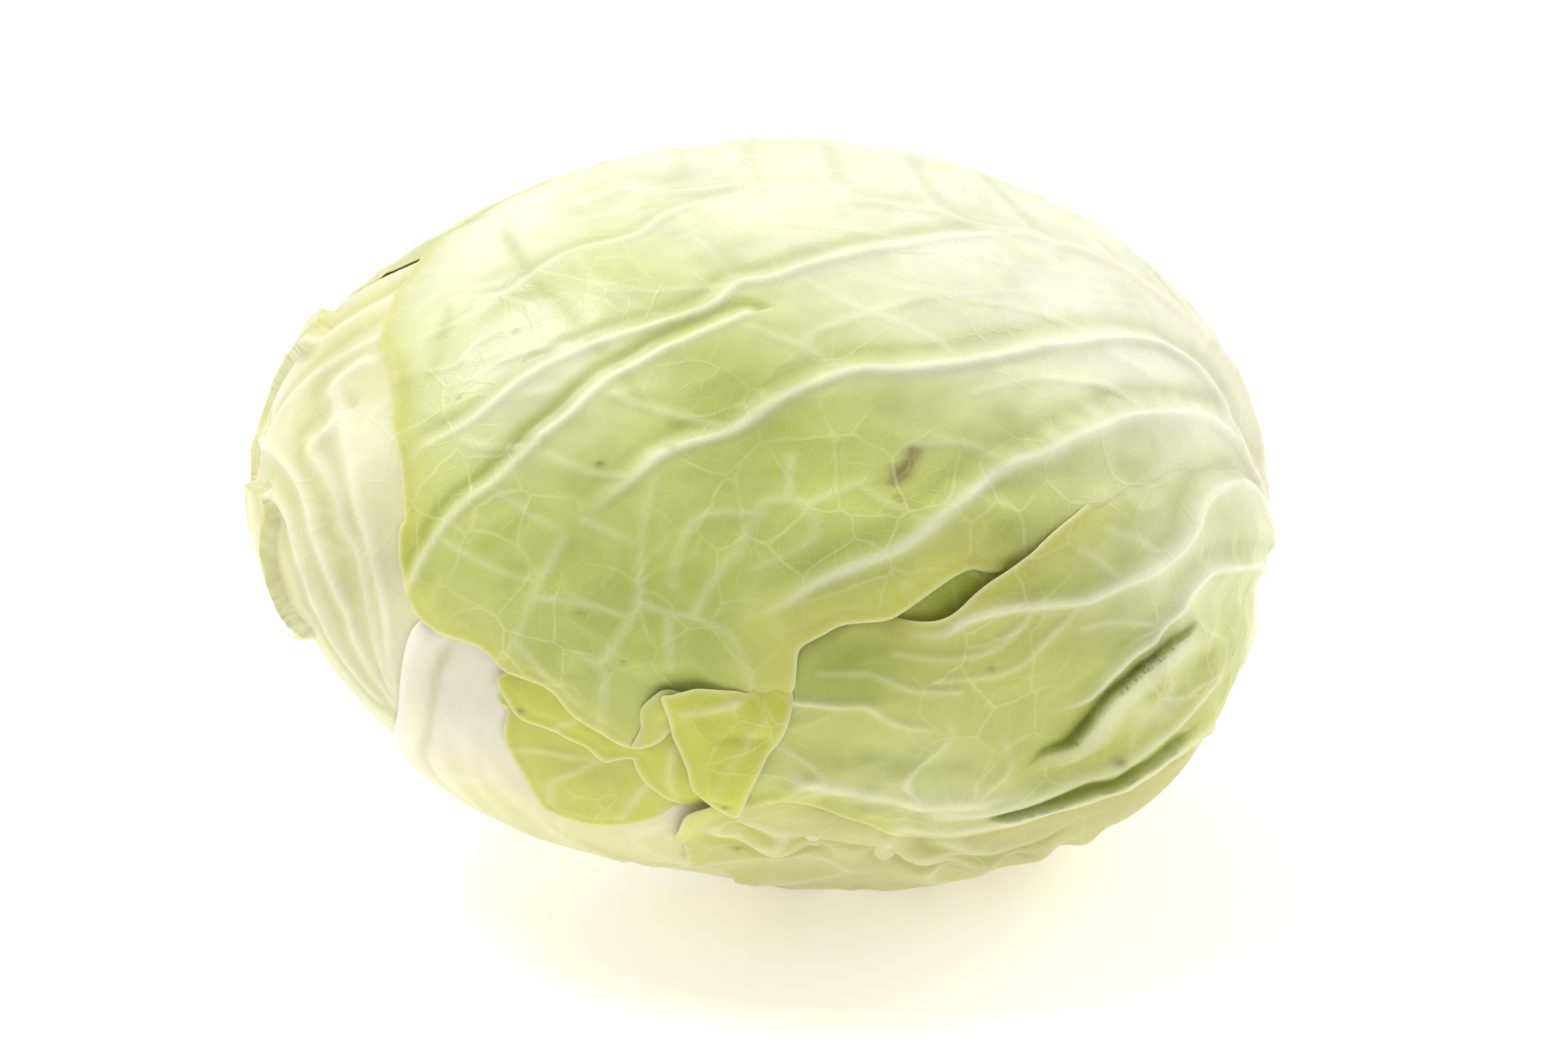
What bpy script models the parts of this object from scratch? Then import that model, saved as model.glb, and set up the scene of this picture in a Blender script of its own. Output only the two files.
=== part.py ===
"""Cabbage head lying on its side: an inner head, its stem stump and eight outer leaves.

Metres, +Z up. The stem end points to +X and dips a little, the crown is at -X, and the
origin is the middle of the box at the height of the surface that the head rests on.

Every surface lies at some height over one egg, the surface of the inner head. The leaves
are laid on it in order, each clear of those below. All share one net of directions, so
that two layers with different heights never cut each other between the net's points.
"""
import bpy
import numpy as np

# Driving dimensions, in metres unless named otherwise.
SEMI_AXES = np.array([0.1035, 0.0775, 0.0725])   # inner head: half length, width, height
EGG = 0.13                       # how much wider the stem end is than the crown end
DIP = np.radians(13.0)           # the stem end dips below level
CENTRE = np.array([-0.00406, 0.00229, 0.0748])    # middle of the egg over the surface
LEAF = 0.0013                    # thickness of a leaf
GAP = 0.0006                     # clear space between two leaves
STEP_START, STEP_END = 3.0, 14.0  # degrees past a lower edge over which a leaf steps down
NET = 11                         # cells along a quarter turn of the shared net
LEAST_CUT = 1.2                  # degrees that a leaf's edge keeps from the net's points
STUMP_RADIUS = 0.0155
STUMP_RISE = 0.0090              # the stump's cut over the inner head's end
STUMP_DOME = 9                   # rings in the stump's hollow inner face
STUMP_SIDES = 28
COLLAR = 15.5                    # degrees round the stem axis that every leaf leaves free

# Swells of the whole head: map place (degrees), radius (degrees) and height.
SWELLS = (((-20, -65), 22, 0.0040), ((88, 2), 12, -0.0030), ((75, -35), 15, 0.0020))


def unit(vector):
    """The vector, or each of an array of vectors, scaled to length 1."""
    vector = np.asarray(vector, float)
    return vector / np.linalg.norm(vector, axis=-1, keepdims=True)


class Map:
    """A flat map of the head about one direction: degrees of arc towards east and north."""

    def __init__(self, centre, east):
        self.centre = unit(centre)
        self.east = unit(np.asarray(east, float) - self.centre * (self.centre @ np.asarray(east, float)))
        self.north = np.cross(self.centre, self.east)

    def place(self, directions):
        """Map places of unit directions: distance from the centre is kept, as is bearing."""
        away = np.degrees(np.arccos(np.clip(directions @ self.centre, -1.0, 1.0)))
        flat = np.stack([directions @ self.east, directions @ self.north], axis=-1)
        return flat * (away / np.maximum(np.linalg.norm(flat, axis=-1), 1e-9))[..., None]

    def direction(self, place):
        """The unit direction at one map place."""
        place = np.radians(np.asarray(place, float))
        away = np.hypot(place[0], place[1])
        flat = place * np.sinc(away / np.pi)
        return np.cos(away) * self.centre + flat[0] * self.east + flat[1] * self.north


TURN, LIFT = np.radians(30.0), np.radians(20.0)
FRONT = Map((-np.sin(TURN) * np.cos(LIFT), -np.cos(TURN) * np.cos(LIFT), np.sin(LIFT)),
            (np.cos(TURN), -np.sin(TURN), 0.0))
CROWN = Map((-1, 0, 0), (0, -1, 0))
BACK = Map((0, 1, 0), (1, 0, 0))
UNDER = Map((0, 0, -1), (1, 0, 0))

# Leaves from the innermost to the outermost: name, map, outline (degrees) and colour.
LEAVES = (
    ("inner_back_leaf", BACK,
     ((-84, -44), (-66, -58), (-30, -62), (10, -50), (40, -40), (80, -20), (90, 10), (60, 34),
      (20, 42), (-30, 44), (-62, 40), (-84, 36), (-110, 20), (-118, -6), (-106, -30)),
     (0.80, 0.84, 0.62)),
    ("crown_leaf", CROWN,
     ((-10, 46), (-21, 30), (-26, 8), (-25, -12), (-20, -32), (-6, -48), (20, -58), (52, -60),
      (78, -44), (84, -12), (70, 22), (46, 50), (14, 56)),
     (0.84, 0.87, 0.68)),
    ("left_cup_leaf", FRONT,
     ((-23, -22), (-25, -28), (-26, -34), (-27, -40), (-29, -47), (-33, -56), (-33, -68),
      (-24, -84), (-6, -94), (20, -98), (54, -92), (84, -72), (102, -40), (108, 0), (84, 18),
      (44, 12), (6, 0), (-14, -10)),
     (0.86, 0.87, 0.72)),
    ("lower_inner_leaf", FRONT,
     ((-13, -36), (-12, -43), (-10, -50), (-8, -56), (0, -59), (7, -54), (10, -49), (24, -50),
      (50, -58), (80, -52), (100, -30), (106, 0), (70, -4), (30, -16), (0, -24)),
     (0.78, 0.82, 0.52)),
    ("upper_inner_leaf", FRONT,
     ((-12, -30), (-13, -33), (-11, -38), (-4, -39), (0, -42), (4, -43), (8, -47), (16, -44),
      (32, -38), (70, -30), (98, -14), (106, 12), (70, 24), (30, 8), (0, -14)),
     (0.80, 0.84, 0.50)),
    ("back_wrapper_leaf", BACK,
     ((88, -34), (66, -52), (36, -70), (4, -78), (-22, -74), (-44, -62), (-58, -42), (-62, -18),
      (-56, 8), (-44, 30), (-22, 46), (8, 54), (38, 54), (66, 44), (88, 30), (96, 0)),
     (0.76, 0.82, 0.56)),
    ("under_leaf", UNDER,
     ((-19, 53), (-18, 48), (-13, 40), (-14, 28), (-22, 10), (-24, -12), (-14, -34), (12, -48),
      (44, -48), (74, -34), (92, -8), (90, 24), (64, 48), (36, 66), (12, 74), (-14, 70)),
     (0.84, 0.87, 0.64)),
    ("front_wrapper_leaf", FRONT,
     ((-44, 18), (-36, 8), (-32, 0), (-28, -10), (-26, -20), (-21, -27), (-12, -29), (-6, -32),
      (-2, -35), (4, -37), (10, -41), (16, -45), (24, -42), (32, -45), (44, -48), (60, -46),
      (78, -42), (94, -34), (106, -14), (112, 20), (106, 56), (95, 84), (75, 100), (50, 108),
      (24, 108), (0, 100), (-20, 90), (-38, 75), (-48, 60), (-52, 45), (-50, 30)),
     (0.77, 0.83, 0.55)),
)


def inside(directions, chart, outline):
    """Signed distance in degrees from the outline and the stem collar: positive inside."""
    place = chart.place(directions)
    start = np.asarray(outline, float)
    run = np.roll(start, -1, axis=0) - start
    to_point = place[..., None, :] - start
    along = np.clip((to_point * run).sum(-1) / (run * run).sum(-1), 0.0, 1.0)
    reach = np.linalg.norm(to_point - along[..., None] * run, axis=-1).min(-1)
    rises = (to_point[..., 1] >= 0) != (to_point[..., 1] - run[:, 1] >= 0)
    safe_rise = np.where(run[:, 1] == 0, 1.0, run[:, 1])
    crossing = start[:, 0] + to_point[..., 1] * run[:, 0] / safe_rise
    odd = ((rises & (place[..., None, 0] < crossing)).sum(-1) % 2) == 1
    collar = np.degrees(np.arccos(np.clip(directions[..., 0], -1.0, 1.0))) - COLLAR
    return np.minimum(np.where(odd, reach, -reach), collar)


def cover(directions, chart, outline):
    """1 over a leaf, falling smoothly to 0 past its edge: what it lifts the leaves above by."""
    past = -inside(directions, chart, outline)
    share = np.clip((past - STEP_START) / (STEP_END - STEP_START), 0.0, 1.0)
    return 1.0 - share * share * (3.0 - 2.0 * share)


def swell(directions):
    """Sum of round bumps and hollows that the whole head shares."""
    total = np.zeros(directions.shape[:-1])
    for place, radius, height in SWELLS:
        away = np.degrees(np.arccos(np.clip(directions @ FRONT.direction(place), -1.0, 1.0)))
        total += height * np.exp(-(away / radius) ** 2)
    return total


def lift(directions, count):
    """Height of the underside of leaf number count: its gap and the leaves below it."""
    height = np.full(directions.shape[:-1], GAP)
    for _, chart, outline, _ in LEAVES[:count]:
        height += (LEAF + GAP) * cover(directions, chart, outline)
    return height


def tilt(vectors):
    """Turn vectors of the egg's own frame so that the stem end dips."""
    x, y, z = np.moveaxis(vectors, -1, 0)
    return np.stack([x * np.cos(DIP) + z * np.sin(DIP), y, z * np.cos(DIP) - x * np.sin(DIP)], -1)


def raise_over_egg(directions, height):
    """Points at a height along the egg's normal, pressed flat where the head would sink.

    The press keeps layers in order: a layer that lies some depth under the outermost one
    stops that depth above the resting surface.
    """
    base = directions * SEMI_AXES
    base[..., 1:] *= (1.0 + EGG * directions[..., :1])
    points = tilt(base + unit(directions / SEMI_AXES) * (height + swell(directions))[..., None])
    points += CENTRE
    depth = lift(directions, len(LEAVES)) - GAP - height
    points[..., 2] = np.maximum(points[..., 2], depth)
    return points


def shared_net():
    """Directions and triangles of a cube net blown up to a ball, its cells even in angle."""
    index = {}
    quads = []
    for axis in range(3):
        for side in (0, NET):
            for i in range(NET):
                for j in range(NET):
                    corners = []
                    for a, b in ((i, j), (i + 1, j), (i + 1, j + 1), (i, j + 1)):
                        key = [a, b]
                        key.insert(axis, side)
                        corners.append(index.setdefault(tuple(key), len(index)))
                    quads.append(corners)
    cube = np.tan(np.pi / 4 * (2 * np.array(list(index), float) / NET - 1))
    directions = unit(cube)
    quads = np.array(quads)
    corner = directions[quads]
    facing = np.cross(corner[:, 1] - corner[:, 0], corner[:, 3] - corner[:, 0])
    backward = (facing * corner.mean(1)).sum(-1) < 0
    quads[backward] = quads[backward][:, ::-1]
    return directions, np.concatenate([quads[:, [0, 1, 2]], quads[:, [0, 2, 3]]])


def edge_runs(triangles):
    """Directed edges that only one triangle has."""
    runs = np.concatenate([triangles[:, [k, (k + 1) % 3]] for k in range(3)])
    known = {tuple(run) for run in runs.tolist()}
    return [run for run in runs.tolist() if (run[1], run[0]) not in known]


def cut_to_leaf(triangles, amount):
    """The part of the net where amount is above 0, cut straight across its triangles.

    Returns the triangles left, over the net's own points and new ones. Each new point lies
    on an edge of the net, and is given as its two ends and its share of the way between.
    """
    new_points = {}
    left = []

    def crossing(a, b):
        key = (min(a, b), max(a, b))
        return len(amount) + new_points.setdefault(key, len(new_points))

    for triangle in triangles.tolist():
        outline = []
        for here, following in zip(triangle, triangle[1:] + triangle[:1]):
            if amount[here] > 0:
                outline.append(here)
            if (amount[here] > 0) != (amount[following] > 0):
                outline.append(crossing(here, following))
        left += [[outline[0], outline[k], outline[k + 1]] for k in range(1, len(outline) - 1)]
    ends = np.array(list(new_points))
    share = amount[ends[:, 0]] / (amount[ends[:, 0]] - amount[ends[:, 1]])
    return np.array(left), ends, share[:, None]


def add_piece(name, points, faces, colour, roughness):
    """A mesh object with its own plain material."""
    mesh = bpy.data.meshes.new(name)
    mesh.from_pydata(points.tolist(), [], faces)
    mesh.validate()
    mesh.shade_smooth()
    material = bpy.data.materials.new(name)
    material.use_nodes = True
    shader = material.node_tree.nodes["Principled BSDF"]
    shader.inputs["Base Color"].default_value = (*colour, 1.0)
    shader.inputs["Roughness"].default_value = roughness
    shader.inputs["Metallic"].default_value = 0.0
    mesh.materials.append(material)
    piece = bpy.data.objects.new(name, mesh)
    bpy.context.scene.collection.objects.link(piece)
    return piece


def add_inner_head(directions, triangles):
    """The packed inner leaves: the egg itself, one solid."""
    points = raise_over_egg(directions, np.zeros(len(directions)))
    add_piece("inner_head", points, triangles.tolist(), (0.88, 0.89, 0.74), 0.5)


def add_leaf(number, directions, triangles):
    """One leaf: its share of the net as an outer and an inner skin, and a wall along its edge."""
    name, chart, outline, colour = LEAVES[number]
    amount = inside(directions, chart, outline)
    amount = np.where(np.abs(amount) < LEAST_CUT, np.copysign(LEAST_CUT, amount), amount)
    kept, ends, share = cut_to_leaf(triangles, amount)
    below = lift(directions, number)
    skins = []
    for height in (below + LEAF, below):
        net = raise_over_egg(directions, height)
        cuts = net[ends[:, 0]] * (1 - share) + net[ends[:, 1]] * share
        skins.append(np.concatenate([net, cuts]))
    used, flat = np.unique(kept, return_inverse=True)
    kept = flat.reshape(kept.shape)
    points = np.concatenate([skin[used] for skin in skins])
    count = len(used)
    faces = kept.tolist() + (kept[:, ::-1] + count).tolist()
    for a, b in edge_runs(kept):
        faces += [[b, a, a + count], [b, a + count, b + count]]
    add_piece(name, points, faces, colour, 0.45)


def add_stem_stump():
    """The cut stem: a short round plug whose inner face follows the inner head's end."""
    turn = np.arange(STUMP_SIDES) * 2 * np.pi / STUMP_SIDES
    circle = np.stack([np.zeros(STUMP_SIDES), np.cos(turn), np.sin(turn)], -1)
    seat = np.arcsin(STUMP_RADIUS / SEMI_AXES[1])
    rings = []
    for share in np.linspace(1.0, 1.0 / STUMP_DOME, STUMP_DOME):
        angle = seat * share
        way = circle * np.sin(angle) + np.array([np.cos(angle), 0.0, 0.0])
        base = way * SEMI_AXES
        base[:, 1:] *= 1.0 + EGG * way[:, :1]
        rings.append(tilt(base + unit(way / SEMI_AXES) * (2 * GAP)) + CENTRE)
    outer = np.linalg.norm(rings[0] - rings[0].mean(0), axis=1).mean()
    cut_at = SEMI_AXES[0] + STUMP_RISE
    for radius, along in ((outer, cut_at - 0.0010), (outer - 0.0010, cut_at)):
        rings.insert(0, tilt(circle * radius + np.array([along, 0.0, 0.0])) + CENTRE)
    points = np.concatenate(rings)
    faces = []
    for ring in range(len(rings) - 1):
        for side in range(STUMP_SIDES):
            nxt = (side + 1) % STUMP_SIDES
            a, b = ring * STUMP_SIDES, (ring + 1) * STUMP_SIDES
            faces.append([a + side, b + side, b + nxt, a + nxt])
    faces.append(list(range(STUMP_SIDES)))
    last = (len(rings) - 1) * STUMP_SIDES
    faces.append([last + side for side in reversed(range(STUMP_SIDES))])
    add_piece("stem_stump", points, faces, (0.87, 0.83, 0.68), 0.6)


def main():
    for old in list(bpy.data.objects):
        bpy.data.objects.remove(old, do_unlink=True)
    directions, triangles = shared_net()
    add_inner_head(directions, triangles)
    add_stem_stump()
    for number in range(len(LEAVES)):
        add_leaf(number, directions, triangles)


main()
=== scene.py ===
"""Cabbage head lying on its side: ribbed outer leaves, laid one over another on the heart.

All surfaces lie at a height over one egg, the surface of the inner head. A leaf is a net of
points on a flat map of the head, drawn onto the leaf's outline at its edge, lifted over the
leaves below it, and given ribs, veins, folds and swells. Lengths are metres, places on the
maps and widths of ribs are degrees of arc (one degree is about a millimetre and a half).
"""

import bmesh
import bpy
import numpy as np
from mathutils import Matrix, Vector


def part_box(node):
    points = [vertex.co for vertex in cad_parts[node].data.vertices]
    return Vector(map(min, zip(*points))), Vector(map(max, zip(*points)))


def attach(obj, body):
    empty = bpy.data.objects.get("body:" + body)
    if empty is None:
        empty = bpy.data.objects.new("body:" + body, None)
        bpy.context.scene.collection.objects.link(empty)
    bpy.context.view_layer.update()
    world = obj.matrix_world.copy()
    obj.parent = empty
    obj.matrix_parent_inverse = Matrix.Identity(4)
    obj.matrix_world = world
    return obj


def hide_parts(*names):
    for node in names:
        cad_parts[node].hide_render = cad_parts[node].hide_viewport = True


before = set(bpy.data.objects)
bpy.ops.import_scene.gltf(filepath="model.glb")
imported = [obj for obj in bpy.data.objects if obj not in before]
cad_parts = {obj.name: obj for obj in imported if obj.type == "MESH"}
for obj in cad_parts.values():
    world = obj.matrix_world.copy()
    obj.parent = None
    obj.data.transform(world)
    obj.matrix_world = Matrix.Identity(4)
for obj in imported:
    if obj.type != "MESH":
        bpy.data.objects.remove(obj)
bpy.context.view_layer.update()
MM = 0.001

# ---------------------------------------------------------------- the head's own shape
SEMI_AXES = np.array([0.1035, 0.0775, 0.0725])   # half length, width and height of the egg
EGG = 0.13               # how much wider the stem end is than the crown end
DIP = np.radians(13.0)   # the stem end dips below level
HEAD_LOW, HEAD_HIGH = (np.array(corner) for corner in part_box("inner_head"))
MIDDLE = (HEAD_LOW + HEAD_HIGH) / 2
CENTRE = np.array([MIDDLE[0] - 0.0004, MIDDLE[1], 0.0748])

LEAF = 0.8 * MM          # thickness of a leaf away from its edge
PITCH = 1.15 * MM        # how much one leaf lifts the next
BASE = 1.7 * MM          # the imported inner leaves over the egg
SINK = 1.3 * MM          # how far the leaves under the front leaf give way to its hollows
WAVE = 0.45 * MM         # slow unevenness that all the leaves share
STEP = (1.0, 8.0)        # degrees past an edge over which the leaf above steps down
# Swells of the whole head: place on the front map, radius in degrees, height in mm.
SWELLS = (((-20, -65), 22, 4.0), ((88, 2), 12, -3.0), ((75, -35), 15, 2.0), ((28, -58), 18, -3.0),
          ((62, -40), 11, -2.6), ((10, 75), 30, -2.2))
COLLAR = 12.5            # degrees round the stem axis that every leaf leaves free


def unit(vector):
    """Each vector scaled to length 1."""
    vector = np.asarray(vector, float)
    return vector / np.linalg.norm(vector, axis=-1, keepdims=True)


def ease(low, high, value):
    """0 below low, 1 above high, and 3t^2 - 2t^3 of the way t between."""
    t = np.clip((value - low) / (high - low), 0.0, 1.0)
    return t * t * (3.0 - 2.0 * t)


def bell(value):
    """exp of minus the square."""
    return np.exp(-value * value)


class Chart:
    """A flat map of the head about one direction: degrees of arc east and north."""

    def __init__(self, centre, east):
        self.centre = unit(centre)
        east = np.asarray(east, float)
        self.east = unit(east - self.centre * (self.centre @ east))
        self.north = np.cross(self.centre, self.east)

    def place(self, way):
        """Places of unit directions: their angle from the centre, kept at their bearing."""
        away = np.degrees(np.arccos(np.clip(way @ self.centre, -1.0, 1.0)))
        flat = np.stack([way @ self.east, way @ self.north], axis=-1)
        return flat * (away / np.maximum(np.linalg.norm(flat, axis=-1), 1e-9))[..., None]

    def way(self, place):
        """Unit directions of places: cos r of the centre and sin r of the bearing."""
        flat = np.radians(np.asarray(place, float))
        away = np.hypot(flat[..., 0], flat[..., 1])[..., None]
        flat = flat * np.sinc(away / np.pi)
        return np.cos(away) * self.centre + flat[..., :1] * self.east + flat[..., 1:] * self.north


TURN, LIFT = np.radians(30.0), np.radians(20.0)
FRONT = Chart((-np.sin(TURN) * np.cos(LIFT), -np.cos(TURN) * np.cos(LIFT), np.sin(LIFT)),
              (np.cos(TURN), -np.sin(TURN), 0.0))
CROWN = Chart((-1, 0, 0), (0, -1, 0))
BACK = Chart((0, 1, 0), (1, 0, 0))
UNDER = Chart((0, 0, -1), (1, 0, 0))


def moved_to(chart, places, source):
    """Places of one chart read on another."""
    return chart.place(source.way(np.asarray(places, float)))


def collar_arc(chart, start, stop):
    """Places along the stem collar: turns in degrees about the stem, 0 up and 90 in front."""
    turn = np.radians(np.linspace(start, stop, max(3, int(abs(stop - start) / 12))))
    off = np.radians(COLLAR)
    way = np.stack([np.full_like(turn, np.cos(off)), -np.sin(off) * np.sin(turn),
                    np.sin(off) * np.cos(turn)], axis=-1)
    return chart.place(way)


def curve(points, closed=False, count=5):
    """A smooth line through the points: Catmull-Rom pieces, count steps each."""
    points = np.asarray(points, float)
    if closed:
        ring = np.concatenate([points[-1:], points, points[:2]])
    else:
        ring = np.concatenate([2 * points[:1] - points[1:2], points,
                               2 * points[-1:] - points[-2:-1]])
    t = (np.arange(count) / count)[None, :, None]
    a, b, c, d = (ring[k:len(ring) - 3 + k, None, :] for k in range(4))
    line = 0.5 * (2 * b + (c - a) * t + (2 * a - 5 * b + 4 * c - d) * t**2
                  + (3 * b - a - 3 * c + d) * t**3)
    line = line.reshape(-1, points.shape[1])
    return line if closed else np.concatenate([line, points[-1:]])


def along(place, line):
    """Distance from a line in degrees, positive on its left, and the share of it passed."""
    best = np.full(len(place), np.inf)
    side = np.ones(len(place))
    share = np.zeros(len(place))
    runs = np.diff(line, axis=0)
    lengths = np.hypot(runs[:, 0], runs[:, 1])
    passed = np.concatenate([[0.0], np.cumsum(lengths)])
    for a, run, length, before in zip(line[:-1], runs, lengths, passed):
        to = place - a
        t = np.clip((to @ run) / (length * length), 0.0, 1.0)
        off = to - t[:, None] * run
        far = off[:, 0] ** 2 + off[:, 1] ** 2
        nearer = far < best
        best[nearer] = far[nearer]
        side[nearer] = np.sign(run[0] * to[nearer, 1] - run[1] * to[nearer, 0])
        share[nearer] = (before + t[nearer] * length) / passed[-1]
    return np.sqrt(best) * side, share


def inside(place, loop):
    """Signed distance in degrees from a closed outline, positive inside, and its nearest point."""
    best = np.full(len(place), np.inf)
    nearest = np.zeros_like(place)
    odd = np.zeros(len(place), bool)
    for a, b in zip(loop, np.roll(loop, -1, axis=0)):
        run = b - a
        to = place - a
        t = np.clip((to @ run) / max(run @ run, 1e-12), 0.0, 1.0)
        off = to - t[:, None] * run
        far = off[:, 0] ** 2 + off[:, 1] ** 2
        nearer = far < best
        best[nearer] = far[nearer]
        nearest[nearer] = (place - off)[nearer]
        rises = (place[:, 1] >= a[1]) != (place[:, 1] >= b[1])
        if run[1] != 0:
            odd ^= rises & (place[:, 0] < a[0] + (place[:, 1] - a[1]) * run[0] / run[1])
    return np.where(odd, 1.0, -1.0) * np.sqrt(best), nearest


def ripple(points, length, seed):
    """Smooth noise between about -1 and 1: a sum of sine waves of random headings."""
    draw = np.random.default_rng(seed)
    total = np.zeros(points.shape[:-1])
    for _ in range(9):
        heading = unit(draw.normal(size=3)) * (2 * np.pi / (length * draw.uniform(0.75, 1.5)))
        total += np.sin(points @ heading + draw.uniform(0, 2 * np.pi))
    return total / 4.2


def from_stem(way):
    """Degrees from the stem axis."""
    return np.degrees(np.arccos(np.clip(way[..., 0], -1.0, 1.0)))


def tilt(points):
    """Turn points of the egg's own frame so that the stem end dips."""
    x, y, z = np.moveaxis(points, -1, 0)
    return np.stack([x * np.cos(DIP) + z * np.sin(DIP), y, z * np.cos(DIP) - x * np.sin(DIP)], -1)


def evened(deep_in):
    """How far the heart gives way under the leaves, so that the outside stays even.

    The count of leaves eases in over thirty degrees at each edge; most of the lift of
    all but the last two is taken back.
    """
    count = (1.0 - ease(-15.0, 15.0, -deep_in)).sum(0)
    return -0.85 * PITCH * (count - 2.0)


def over_egg(way, height, depth):
    """Points at a height along the egg's normal, pressed flat where the head would sink.

    The height also takes the swells, a slow ripple, and a drawing in towards the stem. depth
    is how far a point lies under the outermost leaf: it stops that far above the floor.
    """
    base = way * SEMI_AXES
    base[..., 1:] *= 1.0 + EGG * way[..., :1]
    swell = np.zeros(way.shape[:-1])
    for place, radius, rise in SWELLS:
        away = np.degrees(np.arccos(np.clip(way @ FRONT.way(place), -1.0, 1.0)))
        swell += MM * rise * bell(away / radius)
    swell += WAVE * ripple(way, 0.42, 5) - 1.5 * MM * ease(45.0, 15.0, from_stem(way))
    points = tilt(base + unit(way / SEMI_AXES) * (height + swell)[..., None]) + CENTRE
    points[..., 2] = np.maximum(points[..., 2], depth)
    return points


# ---------------------------------------------------------------- outlines of the leaves
# Each is a closed list of places on the leaf's own chart; curve() rounds it.
def from_front(points, chart):
    """Places of the front map read on another."""
    return moved_to(chart, points, FRONT)


INNER_BACK_EDGE = ((-84, -54), (-66, -70), (-30, -77), (10, -68), (40, -54), (80, -28), (90, 10),
                   (60, 34), (20, 42), (-30, 44), (-62, 40), (-84, 36), (-110, 20), (-118, -6),
                   (-106, -30))
CROWN_EDGE = ((-34, 62), (-38, 40), (-42, 18), (-46, -6), (-42, -30), (-24, -50), (0, -56),
              (20, -60), (52, -60), (78, -44), (84, -12), (70, 22), (46, 56), (12, 68))
CUP_EDGE = ((-22, -18), (-23.5, -25), (-25, -28.6), (-26.2, -33.6), (-27.2, -39.5), (-29, -46.8),
            (-32.7, -56), (-33, -68), (-24, -84), (-6, -94), (20, -98), (54, -92), (84, -72),
            (102, -40), (106, -4), (84, 18), (44, 12), (6, 0), (-12, -10))
LOWER_INNER_EDGE = ((-9, -28), (-13.1, -36.4), (-12, -38), (-12.5, -43), (-11.6, -46.7),
                    (-10.1, -50), (-8.5, -56.2), (-7.2, -57.2), (-4.5, -58), (-2.5, -58.5),
                    (0.5, -57.5), (3.5, -56), (7, -53), (8, -51), (10, -49.5), (12.5, -48.5),
                    (14.5, -47), (18, -46), (24, -46), (50, -54), (80, -50), (100, -30), (103, 0),
                    (70, -4), (30, -16), (4, -22))
UPPER_INNER_EDGE = ((-9, -22), (-11.8, -29.5), (-13.1, -32.2), (-11.7, -35.8), (-10, -38),
                    (-7.6, -38.4), (-5.5, -38.7), (-3.9, -39.3), (-2, -39.6), (-0.5, -41),
                    (0.5, -41.5), (2, -40.5), (3.5, -40), (4, -41.5), (5, -44), (6.5, -46),
                    (8, -47.5), (10, -48.4), (12, -48), (14, -47), (16, -45.5), (20, -42),
                    (32, -36), (70, -28), (98, -14), (103, 12), (70, 24), (30, 8), (2, -10))
BACK_EDGE = ((66, -48), (36, -68), (4, -78), (-22, -78), (-44, -72), (-60, -52), (-65, -18),
             (-57, 8), (-46, 30), (-22, 46), (8, 55), (38, 55), (62, 46), (74, 34))
UNDER_EDGE = np.concatenate([
    from_front([(18, -38), (14, -45), (10.5, -49), (9.5, -54), (9, -58), (10, -61), (10.5, -65.5),
                (12.5, -70), (16, -78)], UNDER),
    [(6, 10), (3, -8), (8, -28), (22, -44), (42, -46), (60, -38)],
    collar_arc(UNDER, 235, 112),
    from_front([(92, 2), (78, -6), (62, -20), (44, -33), (28, -34)], UNDER)])
TEAR_END = (43.6, 15.4)
TEAR_LIP = ((28.3, -6.9), (30.6, -6.2), (32, -5), (33.2, -2.9), (35, 0.7), (37, 3.6), (38.6, 6.3),
            (40, 9.4), TEAR_END)
LOWER_FRONT_EDGE = np.concatenate([
    [(13, -33), (14, -25), (15, -18), (18, -11), (22, -7.5), (26, -7)], TEAR_LIP,
    [(47, 22), (54, 29), (63, 35), (76, 39), (90, 41)],
    collar_arc(FRONT, 30, 124),
    [(92, -12), (82, -18), (74, -23.4), (70, -25.2), (67, -27.8), (64.5, -31.6), (62.3, -34.5),
     (59.8, -37.3), (56.9, -38.9), (53.2, -41), (48.7, -44.7), (43.8, -46.7), (37.8, -46.8),
     (32.7, -45.3), (29.5, -43.7), (26.5, -42), (24, -41), (22, -40.6), (19.7, -41.2),
     (18.5, -43.2), (16.4, -44.5), (13.6, -41)]])
FREE_EDGE = ((18.6, -20), (18.2, -17), (18, -13.7), (20, -11.2), (21.8, -9.2), (25.6, -7.5),
             (27.5, -5.3), (29.3, -2.4), (31.6, 0.8), (33.2, 2.3), (35.8, 2.5))
LEFT_EDGE = ((-44, 18), (-39, 12.5), (-36, 7.5), (-34.7, 4.5), (-32, 0), (-29.6, -5), (-28, -10),
             (-28.3, -12), (-26.5, -20.3), (-24, -25), (-20.6, -27), (-17, -27), (-14.5, -27.5),
             (-12.3, -29.3), (-10, -30), (-7.5, -30.5), (-6, -31.5), (-4, -34), (-1.8, -35.2),
             (-0.5, -35.6), (1, -36.5), (3.5, -37))
UPPER_FRONT_EDGE = np.concatenate([
    LEFT_EDGE, [(6.5, -34), (9, -31), (12, -28), (15.5, -25), (17.6, -23)], FREE_EDGE,
    [(39.5, 5), (43.5, 9.5), (49, 15), (56, 21), (64, 24.5), (74, 25.5), (88, 23)],
    collar_arc(FRONT, 82, -60),
    [(106, 66), (95, 84), (75, 100), (50, 108), (24, 108), (0, 100), (-20, 90), (-38, 75),
     (-48, 60), (-52, 45), (-50, 30)]])
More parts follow.
